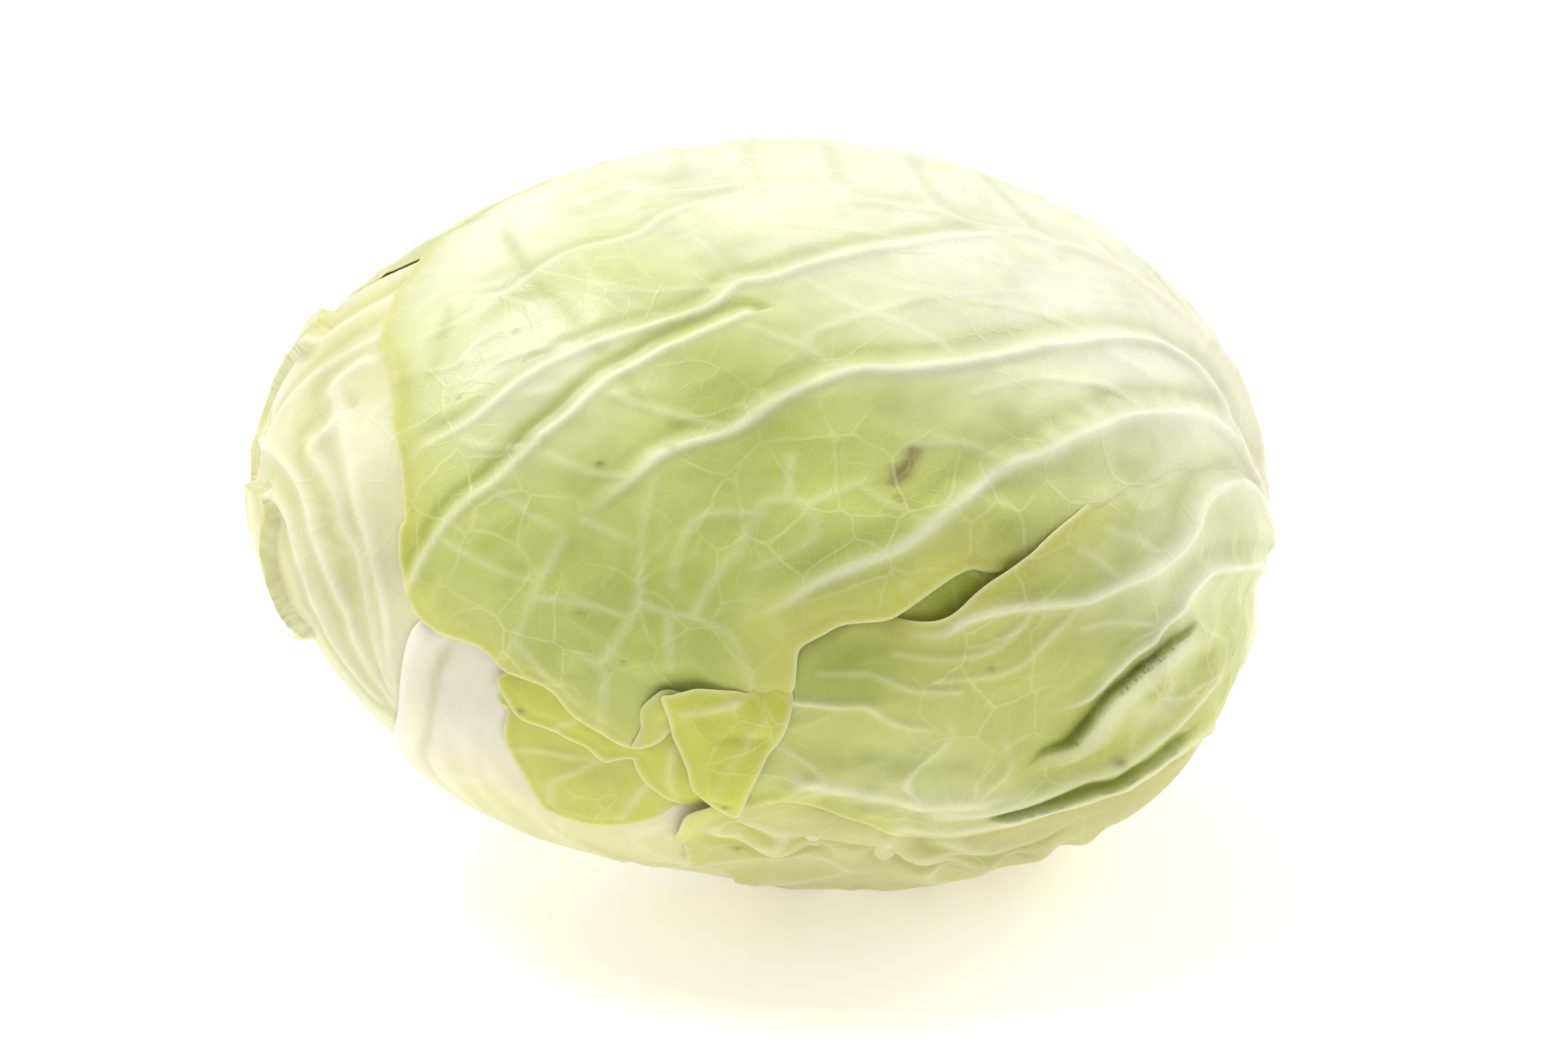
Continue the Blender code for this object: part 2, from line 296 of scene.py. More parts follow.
FLAP_TOP = ((14.5, -22.3), (13, -22.4), (10.5, -23), (9, -23.5), (8, -24.3), (6.7, -25.4),
            (5.7, -26))
FLAP_EDGE = np.concatenate([
    FLAP_TOP,
    [(6.2, -27.7), (7, -30), (7.6, -32.5), (8.8, -35.3), (9.8, -38), (10.5, -41), (11.6, -42.3),
     (13.8, -44), (15, -44.9), (16.1, -45), (16.5, -43), (17, -38.5), (17.9, -32.2), (18.5, -30),
     (19, -27.5), (19.1, -23), (18.6, -20.5), (18.2, -17), (17.6, -15), (16, -17), (15.2, -20)]])
TONGUE_EDGE = ((5.9, -25.6), (4.6, -27.6), (3.9, -29.3), (3.8, -31), (4.1, -32.8), (3.7, -35),
               (3.4, -36.8), (5, -36), (6.4, -34.4), (7.6, -31.6), (9, -31), (9.5, -28), (8, -25.6))

# Layers from the innermost out: name, chart and outline of what lifts the leaves above.
LAYERS = (
    ("inner_back", BACK, INNER_BACK_EDGE), ("crown", CROWN, CROWN_EDGE), ("cup", FRONT, CUP_EDGE),
    ("lower_inner", FRONT, LOWER_INNER_EDGE), ("upper_inner", FRONT, UPPER_INNER_EDGE),
    ("back", BACK, BACK_EDGE), ("under", UNDER, UNDER_EDGE),
    ("lower_front", FRONT, LOWER_FRONT_EDGE), ("upper_front", FRONT, UPPER_FRONT_EDGE))
ORDER = [layer[0] for layer in LAYERS]


def depths_inside(way):
    """For each layer, how many degrees inside its outline each direction lies."""
    return np.array([inside(chart.place(way), np.asarray(edge, float))[0]
                     for _, chart, edge in LAYERS])


# ---------------------------------------------------------------- relief and colour of a leaf
def srgb(*values):
    """Linear colour of three sRGB values out of 255."""
    part = np.array(values, float) / 255.0
    return np.where(part <= 0.04045, part / 12.92, ((part + 0.055) / 1.055) ** 2.4)


# The deep green paints the leaf's own deeper green and also painted shade in grooves, creases,
# slots and gaps; the rib white paints pale ribs and also painted highlights on rolls, raised bands
# and edges; the edge green paints yellow-green margins and also painted shade low on the cup.
RIB_WHITE_AND_HIGHLIGHT = srgb(240, 239, 212)
EDGE_GREEN_AND_SHADE = srgb(203, 202, 86)
DEEP_GREEN_AND_SHADE = srgb(142, 158, 44)
PALE = srgb(238, 239, 214)
BEIGE = srgb(232, 220, 184)
BROWN = srgb(110, 88, 52)


class Relief:
    """Height, sideways shift and colour masks of a leaf's points, built up one mark at a time."""

    def __init__(self, place, way):
        count = len(place)
        self.place = place
        self.way = way
        self.height = np.zeros(count)
        self.ribs = np.zeros(count)
        self.shift = np.zeros((count, 2))
        self.white = np.zeros(count)
        self.deep_and_shade = np.zeros(count)
        self.edge_tint_and_shade = np.zeros(count)
        self.beige = np.zeros(count)
        self.brown = np.zeros(count)
        self.pale = np.zeros(count)

    def wash(self, mask, values):
        """Raise one of the colour masks to at least these values."""
        setattr(self, mask, np.maximum(getattr(self, mask), values))

    def near(self, line, reach):
        """Indices of the points within reach of a line's box, their distance and share."""
        low, high = line.min(0) - reach, line.max(0) + reach
        close = np.nonzero(((self.place > low) & (self.place < high)).all(1))[0]
        distance, share = along(self.place[close], line)
        return close, distance, share

    def rib(self, points, width, height, white=(0.9, 0.4), groove=0.0, beige=0.0, rough=0.0):
        """A raised rib from its root to its tip: a bell across it, tapering along it.

        groove sinks a bell on the right of the rib, of that share of its height, and paints
        shade in that groove; rough frays that side with short cross ridges.
        """
        line = curve(points)
        close, distance, share = self.near(line, 4.5 * max(width))
        if not len(close):
            return
        wide = width[0] + (width[1] - width[0]) * share
        fade = 1.0 - ease(0.86, 1.0, share) * (height[1] < 0.5 * height[0])
        tall = MM * (height[0] + (height[1] - height[0]) * share) * fade
        core = np.maximum(0.62 * wide, 0.55)
        across = 0.62 * bell(distance / core) + 0.38 * bell(distance / (1.7 * wide))
        frayed = rough * ease(0.0, -1.0, distance / wide) * (0.5 + 0.5 * np.sin(share * 190.0))
        rise = tall * (across + frayed * bell((distance + 1.6 * wide) / wide) * 0.5)
        self.ribs[close] = np.maximum(self.ribs[close], rise)
        self.height[close] -= groove * tall * bell((distance + 2.3 * wide) / (1.1 * wide))
        # Painted shade in the groove beside the rib.
        self.deep_and_shade[close] = np.maximum(self.deep_and_shade[close],
                                      groove * fade * bell((distance + 2.6 * wide) / (1.5 * wide)))
        strength = (white[0] + (white[1] - white[0]) * share) * fade
        self.white[close] = np.maximum(self.white[close],
                                       strength * (0.62 * bell(distance / core)
                                                   + 0.15 * bell(distance / (1.8 * wide))))
        self.beige[close] = np.maximum(self.beige[close], beige * (1 - share) * across)

    def vein(self, points, width=0.5, height=0.34, white=0.34):
        """A thin even vein."""
        self.rib(points, (width, width * 0.7), (height, height * 0.7), (white, white * 0.6))

    def fold(self, points, depth, roll, width=(4.0, 4.5), shear=1.2, deep_and_shade=0.8, ends=(0.12, 0.2)):
        """A pleat: the left of the line sinks towards it, the right rolls up over it.

        Left of the line the height falls as depth times exp(-x / width), right of it the
        height leaps to roll and eases out, and the roll leans over the line by shear. Painted
        shade lies in the crease left of the line, and a painted highlight along the top of the
        roll.
        """
        line = curve(points)
        reach = 3.0 * max(width)
        close, distance, share = self.near(line, reach)
        window = ease(0.0, ends[0], share) * (1.0 - ease(1.0 - ends[1], 1.0, share))
        leap = ease(0.45, -0.55, distance)
        left = np.maximum(distance - 0.45, 0.0)
        right = np.maximum(-distance - 0.55, 0.0)
        taper = window * (1.0 - ease(0.7 * reach, reach, np.abs(distance)))
        self.height[close] += MM * taper * (roll * leap * bell(right / width[1])
                                            - depth * (1 - leap) * np.exp(-left / width[0]))
        tangent = unit(np.gradient(line, axis=0))
        index = np.clip((share * (len(line) - 1)).astype(int), 0, len(line) - 1)
        leftward = np.stack([-tangent[index, 1], tangent[index, 0]], -1)
        lean = shear * window * leap * np.exp(-right / 2.5)
        self.shift[close] += leftward * lean[:, None]
        # Painted shade in the crease.
        shade = 0.75 * np.exp(-left / 0.5) + 0.25 * np.exp(-left / 2.4)
        self.deep_and_shade[close] = np.maximum(
            self.deep_and_shade[close], deep_and_shade * window * (1 - 0.8 * leap) * shade * (distance > -2.0))
        # Painted highlight along the top of the roll.
        self.white[close] = np.maximum(self.white[close],
                                       0.45 * window * leap * bell((right - 1.0) / 1.6))

    def crumple(self, length, height, seed, window, white=0.0):
        """Crisp creases where a smooth noise changes sign, low puffs between them."""
        noise = np.abs(ripple(self.way, length, seed))
        self.height += MM * height * window * (0.8 - 2.0 * np.minimum(noise, 0.8))
        self.wash("white", white * window * bell(noise / 0.09))

    def swell(self, place, radius, height):
        """A round bump or hollow."""
        away = np.hypot(*((self.place - place) / radius).T)
        self.height += MM * height * bell(away)

    def band(self, points, width, height):
        """A long soft bump or hollow along a line."""
        close, distance, share = self.near(curve(points), 3 * width)
        ends = ease(0, 0.15, share) * (1 - ease(0.85, 1, share))
        self.height[close] += MM * height * bell(distance / width) * ends

    def stain(self, mask, place, radius, strength):
        """A soft round patch of one of the colour masks."""
        values = getattr(self, mask)
        away = np.hypot(*((self.place - place) / radius).T)
        np.maximum(values, strength * bell(away), out=values)

    def streak(self, mask, points, width, strength):
        """A soft streak of one of the colour masks along a line."""
        close, distance, share = self.near(curve(points), 3 * width)
        values = getattr(self, mask)
        ends = ease(-0.02, 0.12, share) * (1 - ease(0.85, 1.02, share))
        values[close] = np.maximum(values[close], strength * bell(distance / width) * ends)

    def margin(self, amount, lip=0.6, width=2.6, tint=1.0):
        """Along the free edge: a thin raised lip, a yellow-green band and a pale line of painted
        highlight.
        """
        self.height += MM * lip * bell((amount - 0.3) / 0.9)
        self.wash("edge_tint_and_shade", tint * np.exp(-np.maximum(amount, 0.0) / width))
        # Painted highlight: the pale line along the very edge.
        self.wash("white", 0.35 * bell(amount / 0.4))

    def spread(self, base):
        """The colour of each point: the base washed over by the masks in turn; some of the
        masks hold painted shade and painted highlights as well as the leaf's own colours.
        """
        tone = np.tile(base, (len(self.place), 1))
        for mask, colour in ((self.pale, PALE), (self.deep_and_shade, DEEP_GREEN_AND_SHADE),
                             (self.edge_tint_and_shade, EDGE_GREEN_AND_SHADE), (self.white, RIB_WHITE_AND_HIGHLIGHT),
                             (self.beige, BEIGE), (self.brown, BROWN)):
            share = np.clip(mask, 0.0, 1.0)[:, None]
            tone = tone * (1 - share) + colour * share
        return tone


# ---------------------------------------------------------------- laying a leaf
def net_over(loop, step):
    """Square net over a closed outline: places, quads, and which points lie on the edge."""
    low, high = loop.min(0) - step, loop.max(0) + step
    across = np.arange(low[0], high[0] + step, step)
    upward = np.arange(low[1], high[1] + step, step)
    x, y = np.meshgrid(across, upward, indexing="ij")
    place = np.stack([x.ravel(), y.ravel()], -1)
    number = np.arange(len(place)).reshape(x.shape)
    quads = np.stack([number[:-1, :-1], number[1:, :-1], number[1:, 1:], number[:-1, 1:]], -1)
    quads = quads.reshape(-1, 4)
    amount, _ = inside(place[quads].mean(1), loop)
    quads = quads[amount > 0]
    while True:
        runs = edge_runs(quads)
        starts, uses = np.unique(runs[:, 0], return_counts=True)
        pinched = starts[uses > 1]
        if not len(pinched):
            break
        quads = quads[~np.isin(quads, pinched).any(1)]
    used, flat = np.unique(quads, return_inverse=True)
    quads = flat.reshape(quads.shape)
    place = place[used]
    runs = edge_runs(quads)
    rim = runs[:, 0]
    _, place[rim] = inside(place[rim], loop)
    for _ in range(3):
        place = relaxed(place, quads, rim)
    return place, quads, runs


def edge_runs(quads):
    """Directed edges that only one quad has."""
    runs = np.concatenate([quads[:, [k, (k + 1) % 4]] for k in range(4)])
    size = int(quads.max()) + 1
    forward = runs[:, 0] * size + runs[:, 1]
    backward = runs[:, 1] * size + runs[:, 0]
    return runs[~np.isin(forward, backward)]


def relaxed(place, quads, rim):
    """Points near the edge drawn halfway to the mean of their neighbours."""
    total = np.zeros_like(place)
    count = np.zeros(len(place))
    for k in range(4):
        for other in ((k + 1) % 4, (k + 3) % 4):
            np.add.at(total, quads[:, k], place[quads[:, other]])
            np.add.at(count, quads[:, k], 1)
    mean = total / count[:, None]
    near = np.zeros(len(place), bool)
    near[quads[np.isin(quads, rim).any(1)]] = True
    near[rim] = False
    result = place.copy()
    result[near] = 0.5 * place[near] + 0.5 * mean[near]
    return result


def normals_of(points, quads):
    """Unit normal of each point: the mean of the crossed diagonals of its quads."""
    corner = points[quads]
    facing = np.cross(corner[:, 2] - corner[:, 0], corner[:, 3] - corner[:, 1])
    total = np.zeros_like(points)
    for k in range(4):
        for axis in range(3):
            total[:, axis] += np.bincount(quads[:, k], facing[:, axis], len(points))
    return unit(total + 1e-15)


def make_piece(name, points, faces, tone, material, node):
    """A smooth mesh piece with its colours, riding on the one body."""
    mesh = bpy.data.meshes.new(name)
    corners = faces.shape[1]
    mesh.vertices.add(len(points))
    mesh.vertices.foreach_set("co", points.astype(np.float32).ravel())
    mesh.loops.add(faces.size)
    mesh.loops.foreach_set("vertex_index", faces.astype(np.int32).ravel())
    mesh.polygons.add(len(faces))
    mesh.polygons.foreach_set("loop_start", np.arange(0, faces.size, corners, dtype=np.int32))
    mesh.update(calc_edges=True)
    mesh.validate()
    mesh.shade_smooth()
    colours = mesh.color_attributes.new("tone", "FLOAT_COLOR", "POINT")
    values = np.concatenate([tone, np.ones((len(tone), 1))], axis=1)
    colours.data.foreach_set("color", values.astype(np.float32).ravel())
    mesh.materials.append(material)
    piece = bpy.data.objects.new(name, mesh)
    bpy.context.scene.collection.objects.link(piece)
    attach(piece, "root")
    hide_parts(node)


def lay_leaf(name, layer, chart, edge, step, dress, material, node, marks=None,
             thick=LEAF):
    """A leaf as a closed thin solid: outer skin, inner skin and a rounded edge between.

    dress(relief, amount, deep_in) adds the marks and returns the base colour and any extra
    height; amount is the degrees inside the leaf's edge, and deep_in is depths_inside().
    The skin lies at the lift of the layers below plus the relief, which fades where other
    leaves cover it. The edge droops a little, so that it closes on the leaf below.
    """
    loop = curve(edge, closed=True)
    place, quads, runs = net_over(loop, step)
    way = chart.way(place)
    amount, _ = inside(place, loop)
    deep_in = depths_inside(way)
    cover = 1.0 - ease(STEP[0], STEP[1], -deep_in)
    number = ORDER.index(layer)
    marks = marks or chart
    relief = Relief(marks.place(way), way)
    base, extra = dress(relief, amount, deep_in)
    if number < ORDER.index("lower_front"):
        buried = deep_in[number + 1:].max(0)
        shown = 1.0 - ease(-4.0, -0.3, buried)
        extra = extra - SINK * ease(3.0, 9.0, deep_in[-2:].max(0))
    else:
        shown = 1.0
    fine = MM * 0.10 * ripple(way, 0.12, number + 40)
    extra = extra - 0.8 * MM * (1.0 - ease(0.0, 3.0, amount)) * ease(14.0, 20.0, from_stem(way))
    height = (BASE + LEAF + PITCH * cover[:number].sum(0) + evened(deep_in) + extra
              + (relief.height + relief.ribs + fine) * shown)
    depth = PITCH * (1.0 - ease(0.2, 3.0, -deep_in[number + 1:])).sum(0)
    outer = over_egg(marks.way(relief.place + relief.shift), height, depth)
    normal = normals_of(outer, quads)
    if (normal * (outer - CENTRE)).sum() < 0:
        quads, runs, normal = quads[:, ::-1], runs[:, ::-1], -normal
    thin = thick * (0.4 + 0.6 * ease(0.0, 3.0, amount))
    inner = outer - normal * thin[:, None]
    rim = runs[:, 0]
    count = len(outer)
    ring = np.zeros(count, int)
    ring[rim] = 2 * count + np.arange(len(rim))
    outward = np.cross(unit(outer[runs[:, 1]] - outer[rim] + 1e-15), normal[rim])
    middle = (outer[rim] + inner[rim]) / 2 + outward * (0.45 * thin[rim])[:, None]
    a, b = runs[:, 0], runs[:, 1]
    faces = np.concatenate([quads, quads[:, ::-1] + count,
                            np.stack([b, a, ring[a], ring[b]], -1),
                            np.stack([ring[b], ring[a], a + count, b + count], -1)])
    tone = relief.spread(base)
    make_piece(name, np.concatenate([outer, inner, middle]), faces,
               np.concatenate([tone, tone * 0.9, tone[rim]]), material, node)


# ---------------------------------------------------------------- materials
class Nodes:
    """The nodes of one material or group, with short ways to add the kinds used here."""

    def __init__(self, tree):
        self.new, self.link = tree.nodes.new, tree.links.new
        self.coordinates = None

    def position(self):
        """Object coordinates, from one node that is made when first asked for."""
        if self.coordinates is None:
            self.coordinates = self.new("ShaderNodeTexCoord")
        return self.coordinates.outputs["Object"]

    def join(self, value, socket):
        """A plain value is set on the socket, and another socket is linked to it."""
        if isinstance(value, bpy.types.NodeSocket):
            self.link(value, socket)
        else:
            socket.default_value = value

    def noise(self, scale, detail):
        """Cloudy noise over the piece."""
        node = self.new("ShaderNodeTexNoise")
        node.inputs["Scale"].default_value = scale
        node.inputs["Detail"].default_value = detail
        self.link(self.position(), node.inputs["Vector"])
        return node.outputs

    def span(self, value, low=0.0, high=1.0, first=0.0, last=1.0, smooth=False):
        """Value from low to high turned into first to last, and held beyond."""
        node = self.new("ShaderNodeMapRange")
        if smooth:
            node.interpolation_type = "SMOOTHSTEP"
        self.link(value, node.inputs["Value"])
        for label, limit in (("From Min", low), ("From Max", high), ("To Min", first),
                             ("To Max", last)):
            self.join(limit, node.inputs[label])
        return node.outputs["Result"]

    def times(self, value, factor, plus=None):
        """Value times factor, and plus something if given."""
        node = self.new("ShaderNodeMath")
        node.operation = "MULTIPLY" if plus is None else "MULTIPLY_ADD"
        for index, part in enumerate((value, factor) if plus is None else (value, factor, plus)):
            self.join(part, node.inputs[index])
        return node.outputs[0]

    def mix(self, first, second, share, blend="MIX"):
        """One colour laid over another by a share."""
        node = self.new("ShaderNodeMix")
        node.data_type = "RGBA"
        node.blend_type = blend
        for label, value in (("Factor", share), ("A", first), ("B", second)):
            self.join(value, node.inputs[label])
        return node.outputs["Result"]

    def tone(self):
        """The colour painted on the piece's points."""
        node = self.new("ShaderNodeAttribute")
        node.attribute_name = "tone"
        return node.outputs["Color"]

    def bump(self, height, strength, distance):
        """The normal of a surface roughened by a height."""
        node = self.new("ShaderNodeBump")
        node.inputs["Strength"].default_value = strength
        node.inputs["Distance"].default_value = distance
        self.link(height, node.inputs["Height"])
        return node.outputs["Normal"]


def fine_veins(nodes, scale):
    """Fine veins: the borders of two sizes of cells, bent by noise and fading in places."""
    offset = nodes.new("ShaderNodeVectorMath")
    offset.operation = "MULTIPLY_ADD"
    offset.inputs[1].default_value = (0.006, 0.006, 0.006)
    nodes.link(nodes.noise(70.0, 2.0)["Color"], offset.inputs[0])
    nodes.link(nodes.position(), offset.inputs[2])
    borders = []
    for factor, width in ((1.0, 0.045), (2.6, 0.06)):
        cells = nodes.new("ShaderNodeTexVoronoi")
        cells.feature = "DISTANCE_TO_EDGE"
        nodes.link(nodes.times(scale, factor), cells.inputs["Scale"])
        nodes.link(offset.outputs[0], cells.inputs["Vector"])
        borders.append(nodes.span(cells.outputs["Distance"], 0.0, width, 1.0, 0.0, smooth=True))
    both = nodes.times(borders[1], 0.45, borders[0])
    return nodes.times(both, nodes.span(nodes.noise(38.0, 1.0)["Fac"], 0.38, 0.66, 0.12, 1.0))


def leaf_skin_group():
    """Skin of a fresh leaf: its tone in soft patches, with paler fine veins and waxy grain.

    Patches runs from 0 to 1 with the patches, and Height is the veins plus a quarter of the
    grain.
    """
    group = bpy.data.node_groups.new("leaf_skin", "ShaderNodeTree")
    for way, sockets in (
            ("INPUT", (("Tone", "Color"), ("Vein scale", "Float"), ("Vein strength", "Float"),
                       ("Patchiness", "Float"))),
            ("OUTPUT", (("Colour", "Color"), ("Patches", "Float"), ("Height", "Float")))):
        for label, kind in sockets:
            group.interface.new_socket(label, in_out=way, socket_type="NodeSocket" + kind)
    nodes = Nodes(group)
    given = nodes.new("NodeGroupInput").outputs
    made = nodes.new("NodeGroupOutput").inputs
    patches = nodes.noise(55.0, 4.0)["Fac"]
    shade = nodes.span(patches, 0.3, 0.7, nodes.times(given["Patchiness"], -1.0, 1.0),
                       nodes.times(given["Patchiness"], 0.6, 1.0))
    veins = fine_veins(nodes, given["Vein scale"])
    patchy = nodes.mix(given["Tone"], shade, 1.0, "MULTIPLY")
    nodes.link(nodes.mix(patchy, (*srgb(228, 228, 168), 1.0),
                         nodes.times(veins, given["Vein strength"])), made["Colour"])
    nodes.link(patches, made["Patches"])
    nodes.link(nodes.times(nodes.noise(900.0, 3.0)["Fac"], 0.25, veins), made["Height"])
    return group


LEAF_SKIN = leaf_skin_group()


def painted_material(name, glow, glow_colour, glow_depth):
    """A material for a piece with painted tone and light soaking in, with its nodes."""
    material = bpy.data.materials.new(name)
    material.use_nodes = True
    shader = material.node_tree.nodes["Principled BSDF"]
    shader.inputs["Subsurface Weight"].default_value = glow
    shader.inputs["Subsurface Radius"].default_value = glow_colour
    shader.inputs["Subsurface Scale"].default_value = glow_depth
    return material, Nodes(material.node_tree), shader.inputs


def leaf_material(name, vein_scale, vein_strength, roughness=0.42, patchiness=0.12, bump=0.35,
                  glow=0.35):
    """Fresh leaf: painted tone with the leaf skin over it, and a soft waxy sheen."""
    material, nodes, shader = painted_material(name, glow, (1.0, 0.95, 0.45), 0.0035)
    skin = nodes.new("ShaderNodeGroup")
    skin.node_tree = LEAF_SKIN
    nodes.link(nodes.tone(), skin.inputs["Tone"])
    skin.inputs["Vein scale"].default_value = vein_scale
    skin.inputs["Vein strength"].default_value = vein_strength
    skin.inputs["Patchiness"].default_value = patchiness
    nodes.link(skin.outputs["Colour"], shader["Base Color"])
    nodes.link(nodes.bump(skin.outputs["Height"], bump, 0.00025), shader["Normal"])
    nodes.link(nodes.span(skin.outputs["Patches"], 0.0, 1.0, roughness - 0.06, roughness + 0.10),
               shader["Roughness"])
    shader["Specular IOR Level"].default_value = 0.4
    return material


def stem_material():
    """Cut stem: pale pith with dry flecks, which also pit it."""
    material, nodes, shader = painted_material("cut_stem", 0.2, (1.0, 0.9, 0.5), 0.003)
    flecks = nodes.noise(260.0, 5.0)["Fac"]
    shade = nodes.span(flecks, 0.35, 0.65, 0.72, 1.08)
    nodes.link(nodes.mix(nodes.tone(), shade, 1.0, "MULTIPLY"), shader["Base Color"])
    nodes.link(nodes.bump(flecks, 0.5, 0.0006), shader["Normal"])
    shader["Roughness"].default_value = 0.65
    return material


# ---------------------------------------------------------------- marks of each leaf
GREEN = srgb(187, 197, 107)
OUTER_GREEN = srgb(181, 189, 98)
CREAM_LEAF = srgb(229, 224, 197)
CROWN_GREEN = srgb(210, 210, 148)
INNER_GREEN = srgb(186, 190, 76)

# Ribs and veins of the front leaf, from the stem end on.
MIDRIB = ((92, 25), (86, 28), (80.6, 34.4), (77, 41), (72, 47.7), (65.6, 53), (58.6, 57),
          (51.7, 60), (45, 63), (39, 63), (28, 62), (18, 61.7), (12.5, 62), (6.4, 60.7),
          (0.7, 63), (-6, 61.5),
          (-13, 60), (-19, 55), (-26, 55), (-30, 50.7), (-35, 47), (-43, 47))
RIB_0 = ((-8.5, 61.6), (-16.3, 50), (-18.8, 43), (-24.8, 39), (-27.6, 33.6), (-30, 29), (-36.6, 27))
RIB_1 = ((22.6, 59.6), (16, 54.6), (13, 51.5), (10, 49), (6.6, 46), (3.4, 43), (0.3, 39.7),
         (-2.8, 37), (-5, 31), (-14.6, 22.6), (-19.4, 16.7), (-23.7, 8), (-28.3, 2.2),
         (-31.2, -3.4))
RIB_1B = ((0, 32), (-9.4, 20), (-11.4, 16.5), (-13, 11.7), (-15, 7.8), (-15.5, 5.8),
          (-18.5, -1.3), (-21, -5.6), (-22.8, -10.8), (-24.4, -16.6), (-25.8, -21.4))
RIB_2 = ((84, 28), (77, 30.5), (69.4, 34.6), (64.3, 40.5), (59, 45.3), (52, 47), (47, 46.4),
         (42, 44), (33.8, 38.8), (25.3, 32.5), (19, 28.9), (13, 26.5), (7.8, 20.5), (4.6, 14.5),
         (-1, 9.5),
         (-3.5, 4.7), (-7, -3), (-8.3, -5.7))
RIB_3 = ((92, 22), (86, 24.5), (80, 27), (73.4, 32.2), (67.8, 34.7), (61.6, 36), (56.3, 35),
         (51, 33), (46.3, 30.6), (42.4, 27), (39, 23.7), (36.6, 20.8), (33.6, 18.6), (30, 13),
         (27, 7.3),
         (24.5, 3), (21.3, -0.2), (19.7, -2.1), (17.2, -4.9), (15.4, -7.6), (13.3, -10.3),
         (10.5, -13.7))
RIB_4 = ((90, 19), (82, 24), (74, 27.5), (67, 26), (63, 23), (61, 19.8), (60.2, 16.3), (59, 12.8),
         (57.2, 10), (54.8, 7.6), (51.5, 5.1), (47, 1.3), (41.7, -0.8), (37.7, -2.5), (33.8, -5),
         (32, -7.6), (28.6, -8.6), (25, -7.9))
RIB_5 = ((90, 14), (81, 13.5), (72.8, 12), (67, 10.4), (64.3, 8), (62.5, 5.5), (62.2, 2.5),
         (60, -0.6), (58.8, -3.2), (56.5, -5.5), (54.9, -8.7), (54, -11.8), (52.5, -14.6),
         (49.8, -16.4),
         (47.6, -17.9))
VEINS = (
    ((-8.5, -6.5), (-9, -10), (-10, -16), (-11, -23.5), (-12.5, -27.5)),
    ((-11, -23.5), (-7.5, -27.5), (-3.5, -31.5)),
    ((-4, -23), (-1.5, -24), (-0.5, -27), (-0.5, -35.5)),
    ((-1.5, -24), (0, -19), (1, -12.5), (-0.5, -3.5), (-1.5, 5.5)),
    ((1, -12.5), (4.5, -13.5), (7, -13), (11.5, -15), (14.5, -21)),
    ((4.5, -14), (6, -22)),
    ((7, -13), (7.5, -8), (9.5, 0), (10.5, 6)),
    ((10, 3.5), (4.5, 1.5), (3.5, -4.5), (4, -9)),
    ((11, 12.5), (12, 6.5), (9.5, 4.5), (9.5, -3.5)),
    ((12, 6.5), (14, 6), (16, 2), (11.5, -4)),
    ((14, 6), (19.5, 12)),
    ((-26.6, 23), (-29, 20), (-30, 16), (-33.6, 14)),
    ((13, 26.5), (7.5, 29), (2, 30), (-3, 31)),
    ((7.5, 29), (8.2, 32.3), (14.6, 39), (18, 42.5), (24.5, 46), (31.4, 49.4), (38.6, 52.8)),
    ((56, 57.5), (48, 56.5), (40, 53), (33, 50)), ((-2.8, 37), (-12, 33), (-20, 33)),
    ((-14.6, 22.6), (-22, 20), (-27, 14)), ((4.6, 14.5), (-4, 15), (-11.4, 16.5)),
    ((-3.5, 4.7), (-9, 4), (-15.5, 5.8)), ((-15.5, 5.8), (-21, 4), (-26, 5)),
    ((-18.5, -1.3), (-13, -4), (-8.3, -5.7)), ((-22.8, -10.8), (-16, -13), (-9.5, -14)),
    ((-10, -16), (-5, -15), (0.5, -15)), ((-7, -3), (-3, -4), (-0.6, -5)),
    ((33.6, 18.6), (28, 20), (22, 18)), ((27, 7.3), (22, 9), (18, 11)),
    ((-16.3, 50), (-10, 44), (-2.8, 37)), ((-24.8, 39), (-18, 33), (-8, 29)),
    ((-30, 29), (-24, 27), (-19, 22)),
    ((25.3, 32.5), (18, 36), (10, 38), (3, 41)), ((42, 44), (34, 45), (24, 44), (14, 43)),
    ((51, 33), (43, 35), (34, 33), (27, 28)), ((45, 62), (36, 57), (27, 54), (18, 53)),
    ((-19, 55), (-24, 49), (-33, 44)), ((0.7, 63), (-6, 56), (-13, 52)),
    ((16, 54.6), (6, 52), (-4, 51)),
    ((47, 1.3), (44, -6), (40, -12), (33, -15)), ((41.7, -0.8), (38.5, -8), (34, -11), (28, -12)),
    ((57.2, 10), (52, 12), (47, 12)), ((60, -0.6), (53, -1), (48, -3)),
    ((51.5, 5.1), (48, 7), (44, 8.5)), ((36, -16), (31, -17), (26, -16), (21, -17)))
